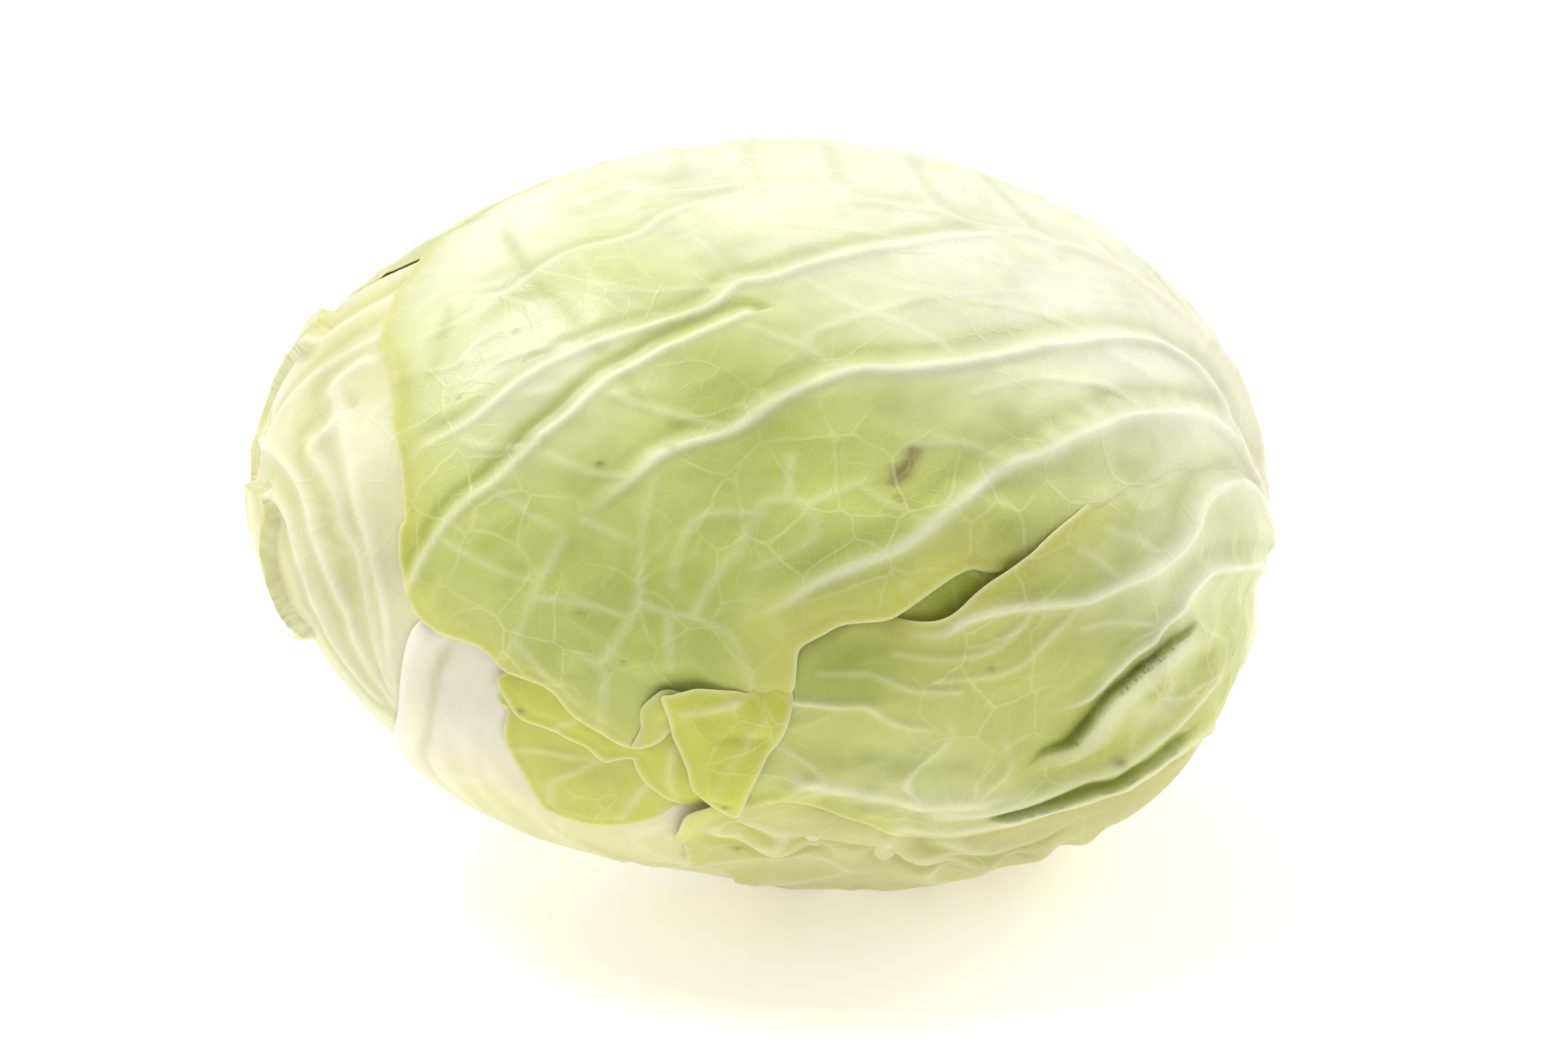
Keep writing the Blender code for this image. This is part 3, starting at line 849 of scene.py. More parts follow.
# Two pleats at the lower right, the line where the parts on each side of the tear join, the
# lower edge along the bottom, and the line where the flap joins.
FOLD_1 = ((66.5, 3), (65.4, -1.4), (62.4, -4.5), (59.9, -7.6), (58, -10.2), (56.2, -13.3),
          (55.4, -15.9), (54.9, -18.7), (53.8, -21.4), (52.6, -23.2), (50, -24.9), (48.7, -27.4),
          (47.6, -29.9))
FOLD_2 = ((75, -17), (70, -21), (66, -24.5), (62, -29), (58.5, -33), (55, -36), (51, -39),
          (46, -41.5))
SEAM = ((43.6, 15.4), (52, 22), (62, 27.5), (72, 30), (88, 28), (110, 24))
LOWER_HEM = ((78, -21), (70, -25.2), (64.5, -31.6), (59.8, -37.3), (53.2, -41), (48.7, -44.7),
             (43.8, -46.7), (37.8, -46.8))
FLAP_SEAM = ((14.5, -22.2), (16.5, -19.5), (18.5, -16), (21, -12))


def neck(relief):
    """The leaf bases thicken and pale towards the stem."""
    away = from_stem(relief.way)
    turn = np.arctan2(-relief.way[:, 1], relief.way[:, 2])
    near = ease(42.0, 14.0, away)
    relief.height += MM * near * (0.5 + 0.5 * np.sin(7 * turn) + 0.25 * np.sin(17 * turn + 1.0))
    relief.wash("white", 0.85 * ease(34.0, 15.0, away))
    relief.wash("brown", 0.5 * ease(15.5, 12.6, away))


def nearest_of(place, *lines):
    """Distance to the nearest of several lines."""
    return np.min([np.abs(along(place, curve(line))[0]) for line in lines], axis=0)


def laterals(relief, midrib, shares, side, reach, seed, width=0.9, height=0.7):
    """Side ribs leaving a midrib at a slant, each bending outwards and forking once."""
    draw = np.random.default_rng(seed)
    line = curve(midrib)
    for share in shares:
        index = int(share * (len(line) - 2))
        start, ahead = line[index], unit(line[index + 1] - line[index])
        across = side * np.array([-ahead[1], ahead[0]])
        length = reach * draw.uniform(0.8, 1.15)
        slant = np.radians(draw.uniform(28, 40))
        points = [start]
        for _ in range(6):
            heading = ahead * np.cos(slant) + across * np.sin(slant)
            points.append(points[-1] + length / 6 * heading)
            slant += np.radians(draw.uniform(2, 9))
        relief.rib(points, (width, width * 0.5), (height, height * 0.35), (0.75, 0.35), groove=0.25)
        fork = points[3]
        other = slant - np.radians(42)
        relief.vein([fork + length * t * (ahead * np.cos(other) + across * np.sin(other))
                     for t in (0.0, 0.16, 0.32)], 0.5, 0.3)
        third = points[4]
        other = slant + np.radians(30)
        relief.vein([third + length * t * (ahead * np.cos(other) + across * np.sin(other))
                     for t in (0.0, 0.14, 0.28)], 0.45, 0.25)


def front_marks(relief):
    """Everything drawn on the large front leaf: one leaf, however torn."""
    relief.rib(MIDRIB, (3.0, 1.0), (2.4, 0.8), (0.9, 0.7), groove=0.12, beige=0.75)
    relief.rib(RIB_0, (1.0, 0.6), (1.0, 0.4), (0.8, 0.4), groove=0.2)
    relief.rib(RIB_1, (1.2, 0.7), (1.3, 0.55), (0.9, 0.55), groove=0.35)
    relief.rib(RIB_1B, (0.9, 0.7), (0.9, 0.55), (0.8, 0.55), groove=0.6)
    relief.rib(RIB_2, (1.9, 0.8), (2.0, 0.8), (1.0, 0.8), groove=0.3)
    relief.rib(RIB_3, (2.0, 0.9), (2.2, 0.9), (1.0, 0.85), groove=0.3, rough=0.5)
    relief.rib(RIB_4, (1.8, 0.9), (1.9, 0.8), (1.0, 0.8), groove=0.3)
    relief.rib(RIB_5, (1.7, 0.8), (1.7, 0.6), (0.95, 0.7), groove=0.3)
    for vein in VEINS:
        relief.vein(vein)
    for start in (70, 58, 45, 31, 17, 2, -12, -25):
        relief.rib([(start, 61), (start - 7, 70), (start - 12, 80), (start - 15, 90),
                    (start - 16, 106)], (1.1, 0.7), (0.8, 0.4), (0.7, 0.4), groove=0.2)
        relief.vein([(start - 12, 80), (start - 17, 84), (start - 22, 90), (start - 25, 98)])
        relief.vein([(start - 7, 70), (start - 1, 76), (start + 1, 86)])
    relief.streak("deep_and_shade", ((-41.5, 44.5), (-26.5, 32), (-21.5, 29), (-14, 23), (-10, 20),
                           (-4.5, 14), (-0.5, 10)), 1.1, 0.38)
    relief.streak("deep_and_shade", ((-36.5, 26.5), (-34, 19.5), (-32, 10.5)), 1.2, 0.35)
    east, north = relief.place.T
    # Painted light: paler towards the top and at the upper left, where the top of the head is
    # brightly lit; the other pale patches are the leaf's own tone.
    relief.wash("pale", 0.82 * ease(14.0, 60.0, north + 0.25 * east))
    relief.wash("pale", 0.60 * bell((east + 22) / 16) * bell((north - 20) / 17))
    relief.wash("pale", 0.55 * bell((east - 62) / 14) * bell((north - 12) / 16))
    relief.wash("pale", 0.35 * bell((east - 42) / 22) * bell((north + 38) / 7))
    relief.wash("pale", 0.88 * bell((east + 40) / 18) * bell((north - 44) / 27))
    relief.crumple(0.15, 0.22, 81, 1.0)
    relief.crumple(0.24, 0.85, 82, bell((east - 34) / 17) * bell((north + 33) / 9), 0.45)
    relief.crumple(0.24, 0.55, 83, bell((east - 66) / 10) * bell((north + 8) / 16), 0.35)
    relief.crumple(0.20, 0.35, 84, bell((east - 2) / 16) * bell((north + 12) / 16), 0.10)
    blotch = ripple(relief.way, 0.22, 71) + 0.6 * ripple(relief.way, 0.09, 72)
    relief.wash("deep_and_shade", 0.30 * ease(0.2, 1.2, blotch) * (1 - 0.7 * relief.pale))
    relief.wash("deep_and_shade", 0.35 * bell((east - 4) / 13) * bell((north - 16) / 8))
    relief.wash("deep_and_shade", 0.38 * bell((east - 3) / 13) * bell((north + 12) / 14))
    for spot, size, strength in (((2, 20), 8.0, 0.35), ((3, 15), 5.0, 0.30),
                                 ((23, -16), 5.5, 0.55), ((-1.5, 13.5), 1.6, 0.6)):
        relief.stain("deep_and_shade", spot, size, strength)
    relief.stain("brown", (-7.5, 5.5), 0.5, 0.8)
    for spot, size in (((-24.5, 23), 0.5), ((-27, 11), 0.4), ((-1, 10), 0.4), ((-4.5, -16.5), 0.4),
                       ((1, -22.5), 0.4), ((38.5, -11.5), 0.5), ((60.5, -24.5), 0.9)):
        relief.stain("brown", spot, size, 0.6)
    relief.streak("brown", ((21.6, 11.3), (22.4, 13.5), (22.9, 16), (23, 18.5)), 0.9, 0.75)
    relief.stain("brown", (22.4, 13.8), 1.2, 0.8)
    relief.stain("brown", (23, 10), 0.6, 0.6)
    for spot, radius, rise in (((-4, -12), 4.5, 0.7), ((5, -8), 3.5, 0.6), ((4, 8), 4.0, 0.6),
                               ((-6, 0), 3.5, 0.5), ((-20, -8), 5, 0.7), ((-14, -20), 4, 0.6),
                               ((4, -20), 4, 0.7), ((14, 12), 4, -0.5), ((20, 5), 4, 0.6),
                               ((-22, 12), 5, 0.5), ((-6, 25), 5, 0.5), ((12, -10), 3, -0.5),
                               ((36, 12), 5, -0.6), ((52, -2), 4, -0.6), ((28, 34), 6, -0.5),
                               ((-2, 48), 7, 0.6), ((26, -13), 4, -0.8), ((40, -8), 5, 0.6),
                               ((8, 20), 9, 0.7), ((-16, 30), 9, 0.6), ((22, 20), 7, -0.5),
                               ((-12, -10), 9, 0.6), ((44, 5), 8, 0.8), ((30, 42), 9, 0.5)):
        relief.swell(spot, radius, rise)
    neck(relief)


def upper_front(relief, amount, deep_in):
    """The main part of the front leaf."""
    place = relief.place
    front_marks(relief)
    shown = nearest_of(place, LEFT_EDGE, FREE_EDGE,
                       ((106, 66), (95, 84), (75, 100), (50, 108), (24, 108), (0, 100), (-20, 90),
                        (-38, 75), (-48, 60), (-52, 45), (-50, 30), (-44, 18)))
    relief.margin(shown, lip=0.55, width=1.7, tint=0.85)
    relief.margin(nearest_of(place, FREE_EDGE), lip=0.3, width=2.8, tint=0.9)
    relief.streak("edge_tint_and_shade", ((-24, -25), (-14.5, -27.5), (-7.5, -30.5), (0, -36)), 3.0, 0.35)
    over_lower = 1.0 - ease(27.0, 35.0, place[:, 0])
    cover = 1.0 - ease(STEP[0], STEP[1], -deep_in[-2])
    extra = -PITCH * cover * (1.0 - over_lower)
    away, _ = along(place, curve(SEAM))
    extra -= 0.45 * MM * ease(0.0, 2.0, -away) * ease(41.0, 46.0, place[:, 0])
    under_lip, _ = along(place, curve(TEAR_LIP))
    near_tear = ease(26, 32, place[:, 0]) * ease(46, 40, place[:, 0])
    extra -= 0.8 * MM * bell(under_lip / 4.0) * near_tear
    slot, share = along(place, curve(FLAP_TOP))
    slot_depth = 1.1 * MM * share * np.exp(-np.abs(slot) / 4.5) * (place[:, 0] < 15)
    extra -= slot_depth
    # Painted shade in the slot where the upper part dips under the flap's top edge.
    relief.wash("deep_and_shade", 0.6 * share * bell(slot / 1.3) * (place[:, 0] < 15))
    return GREEN, extra


def lower_front(relief, amount, deep_in):
    """The part of the front leaf below the tear."""
    place = relief.place
    front_marks(relief)
    relief.fold(FOLD_1[::-1], 1.6, 2.1, width=(2.2, 4.0), shear=2.0, deep_and_shade=0.85, ends=(0.35, 0.25))
    relief.fold(FOLD_2[::-1], 1.3, 1.4, width=(2.5, 3.0), shear=1.5, deep_and_shade=1.0)
    relief.rib(((19, -22.5), (23.4, -21.6), (26.5, -20.9), (28.4, -22), (31, -23.3), (34, -23.4),
                (35.8, -23.5)), (0.8, 0.6), (0.9, 0.4), (0.6, 0.2))
    relief.band(((16.5, -44.5), (18, -43), (19.5, -41), (21, -39), (21.5, -37.5), (23, -34.5),
                 (24, -33)), 0.9, 1.2)
    relief.band(((64, -6), (66, -14), (64, -24), (60, -32)), 6.0, 1.2)
    for line, width, height in ((((78, -6), (68, -17), (59, -28), (48, -38), (36, -42)), 1.5, 1.1),
                                (((74, -2), (64, -15), (56, -26), (46, -35)), 1.8, -0.8),
                                (((20, -35), (28, -36), (38, -38), (48, -35)), 1.6, 0.8),
                                (((24, -38.5), (32, -40.5), (40, -41)), 1.2, -0.7),
                                (((26, -28), (34, -30), (42, -28)), 2.0, -0.6)):
        relief.band(line, width, height)
        # Painted highlight along the raised bands and painted shade along the sunken ones.
        relief.streak("white" if height > 0 else "deep_and_shade", line, 0.8 * width,
                      0.4 if height > 0 else 0.15)
    relief.swell((30, -33), 7, 0.7)
    relief.stain("pale", (36, -33), 10, 0.2)
    hem = LOWER_FRONT_EDGE[22:46]
    shown = nearest_of(place, TEAR_LIP, hem)
    relief.margin(shown, lip=0.5, width=1.6, tint=0.8)
    beyond, _ = along(place, curve(SEAM))
    extra = -0.45 * MM * ease(0.0, 2.0, beyond) * ease(41.0, 46.0, place[:, 0])
    lip, share = along(place, curve(TEAR_LIP))
    extra += 2.2 * MM * bell(lip / 6.0) * (1 - share) ** 0.8 * ease(26.0, 31.0, place[:, 0])
    low, _ = along(place, curve(LOWER_HEM))
    extra += 1.8 * MM * bell((np.abs(low) - 2.0) / 3.0)
    # Painted highlight along the rolled lower hem.
    relief.wash("white", 0.45 * bell((np.abs(low) - 2.2) / 1.3))
    return OUTER_GREEN, extra


def flap(relief, amount, deep_in):
    """The torn piece lying over the front leaf's lower edge."""
    place = relief.place
    relief.rib(((13.5, -24), (11, -26), (8, -28)), (0.6, 0.5), (0.4, 0.25), (0.5, 0.3))
    relief.vein(((16.5, -26), (15, -32), (13.5, -38), (13, -43)), 0.5, 0.2, 0.2)
    relief.band(((8, -27), (11, -31), (12.5, -37), (14.5, -43)), 1.6, 0.7)
    relief.band(((18.5, -29.5), (15, -29.8), (11, -31)), 1.0, -0.5)
    relief.stain("brown", (14.5, -43), 0.45, 0.8)
    relief.stain("brown", (13.6, -42.4), 0.3, 0.6)
    free = FLAP_EDGE[:27]
    relief.margin(nearest_of(place, free), lip=0.35, width=1.2, tint=0.7)
    top, share = along(place, curve(FLAP_TOP))
    extra = PITCH * 0.9 + 1.5 * MM * share * bell(top / 5.0)
    joined = along(place, curve(FLAP_SEAM))[0]
    extra = extra * (1 - ease(13.0, 17.0, place[:, 0]) * ease(-27.0, -21.0, place[:, 1]))
    extra -= 0.4 * MM * ease(0.0, 1.5, joined) * ease(-23.0, -20.0, place[:, 1])
    return srgb(190, 194, 70), extra


def tongue(relief, amount, deep_in):
    """The small pale piece between the front leaf and its flap."""
    relief.margin(amount, lip=0.3, width=0.8, tint=0.4)
    return srgb(204, 208, 96), np.full(len(amount), 0.55 * PITCH)


def shade_in_the_tear(relief):
    """Painted shade: deep green where the tear of the front leaf opens onto the leaves below."""
    relief.stain("deep_and_shade", (33, -1), 7.0, 0.95)


def upper_inner(relief, amount, deep_in):
    """The upper of the two leaf margins that show below the front leaf."""
    shade_in_the_tear(relief)
    relief.margin(amount, lip=0.6, width=2.2, tint=0.9)
    relief.stain("brown", (-10, -36.5), 0.5, 0.7)
    relief.height += MM * 0.35 * ripple(relief.way, 0.14, 61)
    relief.vein(((2, -30), (-2, -34), (-6, -38)))
    relief.vein(((8, -36), (8, -42), (9, -47)))
    relief.vein(((12, -38), (13, -43), (13.5, -47)))
    return INNER_GREEN, np.zeros(len(amount))


def lower_inner(relief, amount, deep_in):
    """The lower of the two leaf margins that show below the front leaf."""
    relief.margin(amount, lip=0.6, width=2.0, tint=0.8)
    relief.vein(((4, -38), (0, -42), (-7, -43), (-11, -45)), 0.6, 0.4, 0.3)
    relief.vein(((0, -42), (-3, -45), (-6, -48), (-7, -54)), 0.6, 0.4, 0.3)
    relief.vein(((6, -44), (4, -49), (2, -55)), 0.5, 0.3)
    relief.swell((-4, -50), 6, 0.8)
    relief.height += MM * 0.35 * ripple(relief.way, 0.14, 62)
    return srgb(190, 192, 90), np.zeros(len(amount))


# The thick rim of the cup leaf.
CUP_RIM = ((-22.5, -20), (-23.5, -25), (-25, -28.6), (-26.2, -33.6), (-27.2, -39.5), (-29, -46.8),
           (-32.7, -56), (-33, -68), (-24, -84))


def cup(relief, amount, deep_in):
    """The thick smooth creamy leaf cupping the head from below."""
    rim, _ = along(relief.place, curve(CUP_RIM))
    inwards = np.abs(rim)
    shade_in_the_tear(relief)
    relief.height += MM * (1.7 * bell((inwards - 1.4) / 1.9) - 0.8 * bell((inwards - 5.0) / 1.2))
    # Painted shade in the hollow behind the rim.
    relief.wash("deep_and_shade", 0.35 * bell((inwards - 5.0) / 0.9))
    relief.wash("white", 0.8 * bell(inwards / 3.0))
    relief.swell((-18, -42), 7, 0.6)
    # Painted shade: darker towards the bottom of the cup.
    low = ease(-44.0, -62.0, relief.place[:, 1]) * ease(4.0, 12.0, inwards)
    relief.wash("edge_tint_and_shade", 0.45 * low)
    relief.vein(((-14, -30), (-17, -40), (-18, -52), (-16, -66)), 1.0, 0.4, 0.4)
    relief.vein(((-8, -50), (-10, -60), (-8, -72)), 0.8, 0.3, 0.4)
    relief.crumple(0.3, 0.5, 85, ease(4.0, 12.0, inwards), 0.3)
    relief.band(((-20, -30), (-22, -42), (-22, -56), (-18, -70)), 1.6, 0.6)
    relief.band(((-15, -40), (-16, -52), (-12, -66)), 1.4, -0.5)
    laterals(relief, ((60, -60), (30, -75), (0, -75), (-22, -68)), (0.2, 0.45, 0.7), 1, 18, 21)
    laterals(relief, ((60, -60), (30, -75), (0, -75), (-22, -68)), (0.25, 0.5, 0.75), -1, 18, 22)
    neck(relief)
    return CREAM_LEAF, np.zeros(len(amount))


# The line that the crown leaf rolls along.
CROWN_RIM = ((-58, 22), (-63, 12), (-67, 6), (-71, -1), (-71, -8), (-69, -14), (-67, -24),
             (-62, -38))

# The lobe of the crown leaf that rolls outwards at the far end.
LOBE = ((-60, 14), (-66, 10), (-74, 2), (-76, -10), (-74, -17), (-69, -16), (-61, -15),
        (-57, -14.5), (-56, -15.5), (-55.5, -19), (-57.5, -31), (-53.5, -39), (-48.5, -42),
        (-60, -46), (-76, -30), (-84, -10), (-80, 10), (-66, 22))


def crown(relief, amount, deep_in):
    """The leaf rolled over the crown end, with ribs running down from the front leaf."""
    relief.rib(((-44, 14), (-47.5, 8.5), (-44.5, 4.5), (-41, 0.5), (-38, -4), (-35, -10),
                (-32, -15), (-30.5, -21), (-29, -30.5), (-29.5, -49)), (1.7, 1.0), (1.2, 0.7),
               (0.8, 0.6), 0.3)
    relief.rib(((-44, 2), (-46.5, -3.5), (-42.5, -6.5), (-39, -10), (-37, -14), (-33.5, -18),
                (-32.5, -23.5), (-31.5, -32), (-29.5, -48)), (1.5, 0.9), (1.1, 0.6),
               (0.75, 0.5), 0.3)
    relief.rib(((-71, -7.5), (-59.5, -6.5), (-53, -7.5), (-48.5, -10), (-45, -13.5), (-42.5, -17.5),
                (-39.5, -21.5), (-36.5, -26.5), (-35, -33.5), (-30.5, -47)), (2.0, 1.1), (1.6, 0.8),
               (0.9, 0.6), 0.3)
    relief.rib(((-56, -15), (-51, -17.5), (-48, -23), (-44, -28.5), (-41.5, -37), (-34, -47)),
               (1.7, 1.0), (1.2, 0.7), (0.8, 0.6), 0.3)
    for line in (((-37, 9), (-38, 6), (-39, 0)), ((-53, -7.5), (-50, -3), (-47, -1)),
                 ((-45, -13.5), (-41, -13), (-38, -12)), ((-42.5, -17.5), (-38, -18.5), (-34, -18)),
                 ((-59, 5), (-55, 0), (-53, -7.5))):
        relief.vein(line)
    rim, _ = along(relief.place, curve(CROWN_RIM))
    lobe, _ = inside(relief.place, curve(LOBE, closed=True))
    relief.height += MM * 2.6 * ease(-0.2, 0.7, lobe) * ease(24.0, 8.0, np.abs(rim))
    relief.margin(np.where(lobe > -0.2, np.abs(lobe), 30.0), lip=0.5, width=1.2, tint=0.5)
    relief.streak("deep_and_shade", ((-71.5, 1), (-71, -4.5), (-70, -9)), 1.8, 0.6)
    relief.streak("deep_and_shade", ((-55, -12), (-50, -14), (-46, -20), (-42, -30)), 2.5, 0.25)
    for line in (((-2, 34), (-10, 12), (-17, -10), (-20, -40)),
                 ((-10, 40), (-20, 16), (-27, -8), (-28, -36)),
                 ((6, 30), (-2, 10), (-8, -12), (-8, -46)),
                 ((-20, 44), (-30, 20), (-37, -4), (-36, -28))):
        line = moved_to(FRONT, line, CROWN)
        relief.rib(line, (1.6, 1.0), (1.0, 0.6), (0.7, 0.5), groove=0.3)
        relief.vein(line[1:] + (2.5, 3.0))
    relief.wash("pale", 0.30 + 0.2 * ripple(relief.way, 0.3, 46))
    relief.swell((-50, -2), 6, 0.8)
    relief.swell((-38, -22), 6, 0.7)
    return CROWN_GREEN, np.zeros(len(amount))


def inner_back(relief, amount, deep_in):
    """The pale leaf between the crown leaf and the back."""
    midrib = ((88, -4), (50, -2), (10, 0), (-40, -2), (-80, -4))
    relief.rib(midrib, (2.4, 0.8), (1.8, 0.5), (0.9, 0.6))
    laterals(relief, midrib, np.arange(0.15, 0.95, 0.12), 1, 48, 31)
    laterals(relief, midrib, np.arange(0.2, 0.95, 0.12), -1, 48, 32)
    relief.margin(amount, lip=0.4, width=2.0, tint=0.5)
    return srgb(226, 230, 184), np.zeros(len(amount))


def back(relief, amount, deep_in):
    """The large leaf wrapping the far side, its midrib running the whole length."""
    midrib = ((92, -2), (74, -2), (40, -6), (0, -8), (-30, -7), (-56, -5))
    relief.wash("pale", 0.45 + 0.25 * ripple(relief.way, 0.5, 43))
    blotch = ripple(relief.way, 0.24, 44) + 0.6 * ripple(relief.way, 0.09, 45)
    relief.wash("deep_and_shade", 0.30 * ease(0.1, 1.2, blotch))
    relief.rib(midrib, (3.2, 0.9), (2.6, 0.6), (0.9, 0.6), groove=0.2, beige=0.5)
    for side, seed in ((1, 41), (-1, 42)):
        laterals(relief, midrib, np.arange(0.08, 0.92, 0.115) + 0.03 * side, side, 52, seed,
                 1.1, 1.0)
    relief.margin(amount + 40 * ease(30, 20, from_stem(relief.way)), lip=0.4, width=1.8, tint=0.7)
    for spot, radius, rise in (((0, 20), 12, 0.8), ((-20, -35), 11, 0.8), ((35, 25), 10, -0.6),
                               ((20, -30), 9, 0.7), ((-34, 10), 8, -0.5), ((48, -26), 8, 0.6)):
        relief.swell(spot, radius, rise)
    neck(relief)
    return GREEN, np.zeros(len(amount))


def under(relief, amount, deep_in):
    """The leaf that the head rests on, frilled where its edge comes out in front."""
    midrib = ((94, 0), (74, 1), (44, 0), (12, 4), (-22, 6))
    relief.rib(midrib, (3.0, 1.0), (1.2, 0.0), (0.95, 0.0), beige=0.4)
    laterals(relief, midrib, np.arange(0.1, 0.9, 0.13), 1, 46, 51, 1.0, 0.7)
    laterals(relief, midrib, np.arange(0.14, 0.9, 0.13), -1, 46, 52, 1.0, 0.7)
    front = FRONT.place(relief.way)
    east, north = front.T
    frill = bell((north + 58 - 3 * np.sin(east / 9.0)) / 5.0) * ease(10, 18, east)
    relief.height += MM * 1.3 * frill * np.sin(east * 0.62 + 0.1 * north)
    low = ease(-44.0, -56.0, north) * ease(78.0, 55.0, east)
    relief.crumple(0.22, 0.9, 91, low, 0.4)
    relief.wash("edge_tint_and_shade", 0.45 * bell((east - 16) / 9) * bell((north + 56) / 9))
    for line in (((18, -49), (24, -52), (31, -52.5), (38, -54)), ((16, -55), (22, -58), (30, -57)),
                 ((44, -50), (50, -52), (57, -50), (64, -44)),
                 ((40, -56), (47, -58), (55, -56), (62, -52))):
        relief.rib(moved_to(UNDER, line, FRONT), (1.2, 0.7), (1.2, 0.2), (0.55, 0.05), groove=0.5)
    gutter = nearest_of(front, LOWER_HEM + ((32.7, -45.3), (26, -42)))
    relief.height -= MM * 0.9 * bell(gutter / 3.0)
    # Painted shade in the gutter under the front leaf's lower hem.
    relief.wash("deep_and_shade", 0.85 * np.exp(-gutter / 1.8))
    rim = nearest_of(front, ((14, -45), (10.5, -49), (9.5, -54), (9, -58), (10, -61),
                             (10.5, -65.5)))
    relief.height += MM * 1.2 * bell((rim - 1.0) / 1.5)
    relief.margin(amount + 40 * ease(30, 20, from_stem(relief.way)), lip=0.4, width=2.0, tint=0.9)
    relief.stain("brown", moved_to(UNDER, (17, -60.5), FRONT), 0.6, 0.6)
    relief.wash("pale", 0.22 * ease(-30, -60, north))
    neck(relief)
    return srgb(194, 190, 112), np.zeros(len(amount))


# ---------------------------------------------------------------- the pieces
def add_inner_head():
    """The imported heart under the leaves: the egg itself, pressed flat below."""
    ball = bmesh.new()
    bmesh.ops.create_icosphere(ball, subdivisions=6, radius=1.0)
    way = unit([vertex.co[:] for vertex in ball.verts])
    faces = np.array([[vertex.index for vertex in face.verts] for face in ball.faces])
    ball.free()
    deep_in = depths_inside(way)
    depth = PITCH * (1.0 - ease(0.2, 3.0, -deep_in)).sum(0)
    points = over_egg(way, evened(deep_in) - 0.3 * MM, depth)
    tone = np.tile(PALE, (len(way), 1))
    stem = ease(20.0, 11.0, from_stem(way))[:, None]
    tone = tone * (1 - stem) + BEIGE * stem
    make_piece("heart", points, faces, tone, HEART_LEAF, "inner_head")


# Profile of the stump in mm: along the stem axis from its seat, and out from the axis.
STUMP = ((-8.0, 0.0), (-8.0, 9.0), (-7.5, 16.5), (-3.0, 17.8), (0.0, 17.6), (2.5, 16.6),
         (5.0, 15.6), (7.4, 15.0), (8.6, 14.6), (9.0, 13.9), (8.9, 12.6), (8.5, 10.8), (8.4, 8.6),
         (8.7, 6.4), (8.5, 4.2), (8.7, 2.0), (8.6, 0.0))
STUMP_SIDES = 96
STUMP_SEAT = SEMI_AXES[0] - 4.5 * MM
CUT_RING = 3.5 * MM      # from one growth ring of the cut to the next


def add_stump():
    """The cut stem: a profile turned about the stem axis, out of round by three sine waves.

    Its face is coloured by growth rings and a pale middle, its rim by a brown band.
    """
    count = STUMP_SIDES
    profile = curve(np.array(STUMP) * MM, count=3)
    turn = 2 * np.pi * np.arange(count) / count
    along_axis = np.repeat(profile[:, 0], count).reshape(-1, count)
    radius = np.repeat(np.maximum(profile[:, 1], 0.0), count).reshape(-1, count)
    radius = radius * (1 + 0.035 * np.sin(3 * turn + 0.6) + 0.02 * np.sin(5 * turn + 2)
                       + 0.012 * np.sin(11 * turn))
    along_axis = along_axis + 0.0006 * (radius / 0.015) * np.sin(2 * turn + 1.0)
    points = np.stack([STUMP_SEAT + along_axis, radius * np.cos(turn), radius * np.sin(turn)], -1)
    points = points.reshape(-1, 3)
    points = np.concatenate([points[:1], points[count:-count], points[-1:]])
    ring = np.arange((len(profile) - 2) * count).reshape(-1, count) + 1
    following = np.roll(ring, -1, axis=1)
    a, b, a_next, b_next = ring[:-1], ring[1:], following[:-1], following[1:]
    faces = np.concatenate([np.stack(corners, -1).reshape(-1, 3) for corners in (
        (a, a_next, b_next), (a, b_next, b),
        (following[0], ring[0], np.zeros(count, int)),
        (ring[-1], following[-1], np.full(count, len(points) - 1)))])
    off = np.hypot(points[:, 1], points[:, 2])
    above = (points[:, 0] - STUMP_SEAT)[:, None]
    on_face = above > 7.8 * MM
    rings = 0.5 + 0.5 * np.sin(off * 2 * np.pi / CUT_RING)
    tone = np.tile(srgb(198, 190, 138), (len(points), 1))
    tone = np.where(on_face, srgb(226, 214, 172) * (0.88 + 0.12 * rings[:, None]), tone)
    bark = 0.6 * bell((off - 0.0142) / 0.0012)[:, None] * (above > 6 * MM)
    tone = tone * (1 - bark) + srgb(150, 124, 78) * bark
    centre = 0.35 * bell(off / 0.004)[:, None] * on_face
    tone = tone * (1 - centre) + srgb(236, 232, 208) * centre
    points = tilt(points) + CENTRE
    corner = points[faces]
    facing = np.cross(corner[:, 1] - corner[:, 0], corner[:, 2] - corner[:, 0])
    if (facing * (corner.mean(1) - points.mean(0))).sum() < 0:
        faces = faces[:, ::-1]
    make_piece("stump", points, faces, tone, stem_material(), "stem_stump")


HEART_LEAF = leaf_material("heart_leaf", 60.0, 0.10, 0.5, 0.05, 0.2)
FRONT_LEAF = leaf_material("front_green", 85.0, 0.28)
BACK_LEAF = leaf_material("back_green", 85.0, 0.26)
UNDER_LEAF = leaf_material("under_green", 85.0, 0.24)
FLAP_LEAF = leaf_material("flap_green", 110.0, 0.32, 0.40)
CROWN_LEAF = leaf_material("crown_green", 85.0, 0.24, 0.45)
MARGIN_LEAF = leaf_material("margin_green", 95.0, 0.22, 0.42)
INNER_LEAF = leaf_material("inner_pale", 80.0, 0.2, 0.46)
CUP_LEAF = leaf_material("cup_cream", 60.0, 0.08, 0.40, 0.05, 0.2, 0.4)

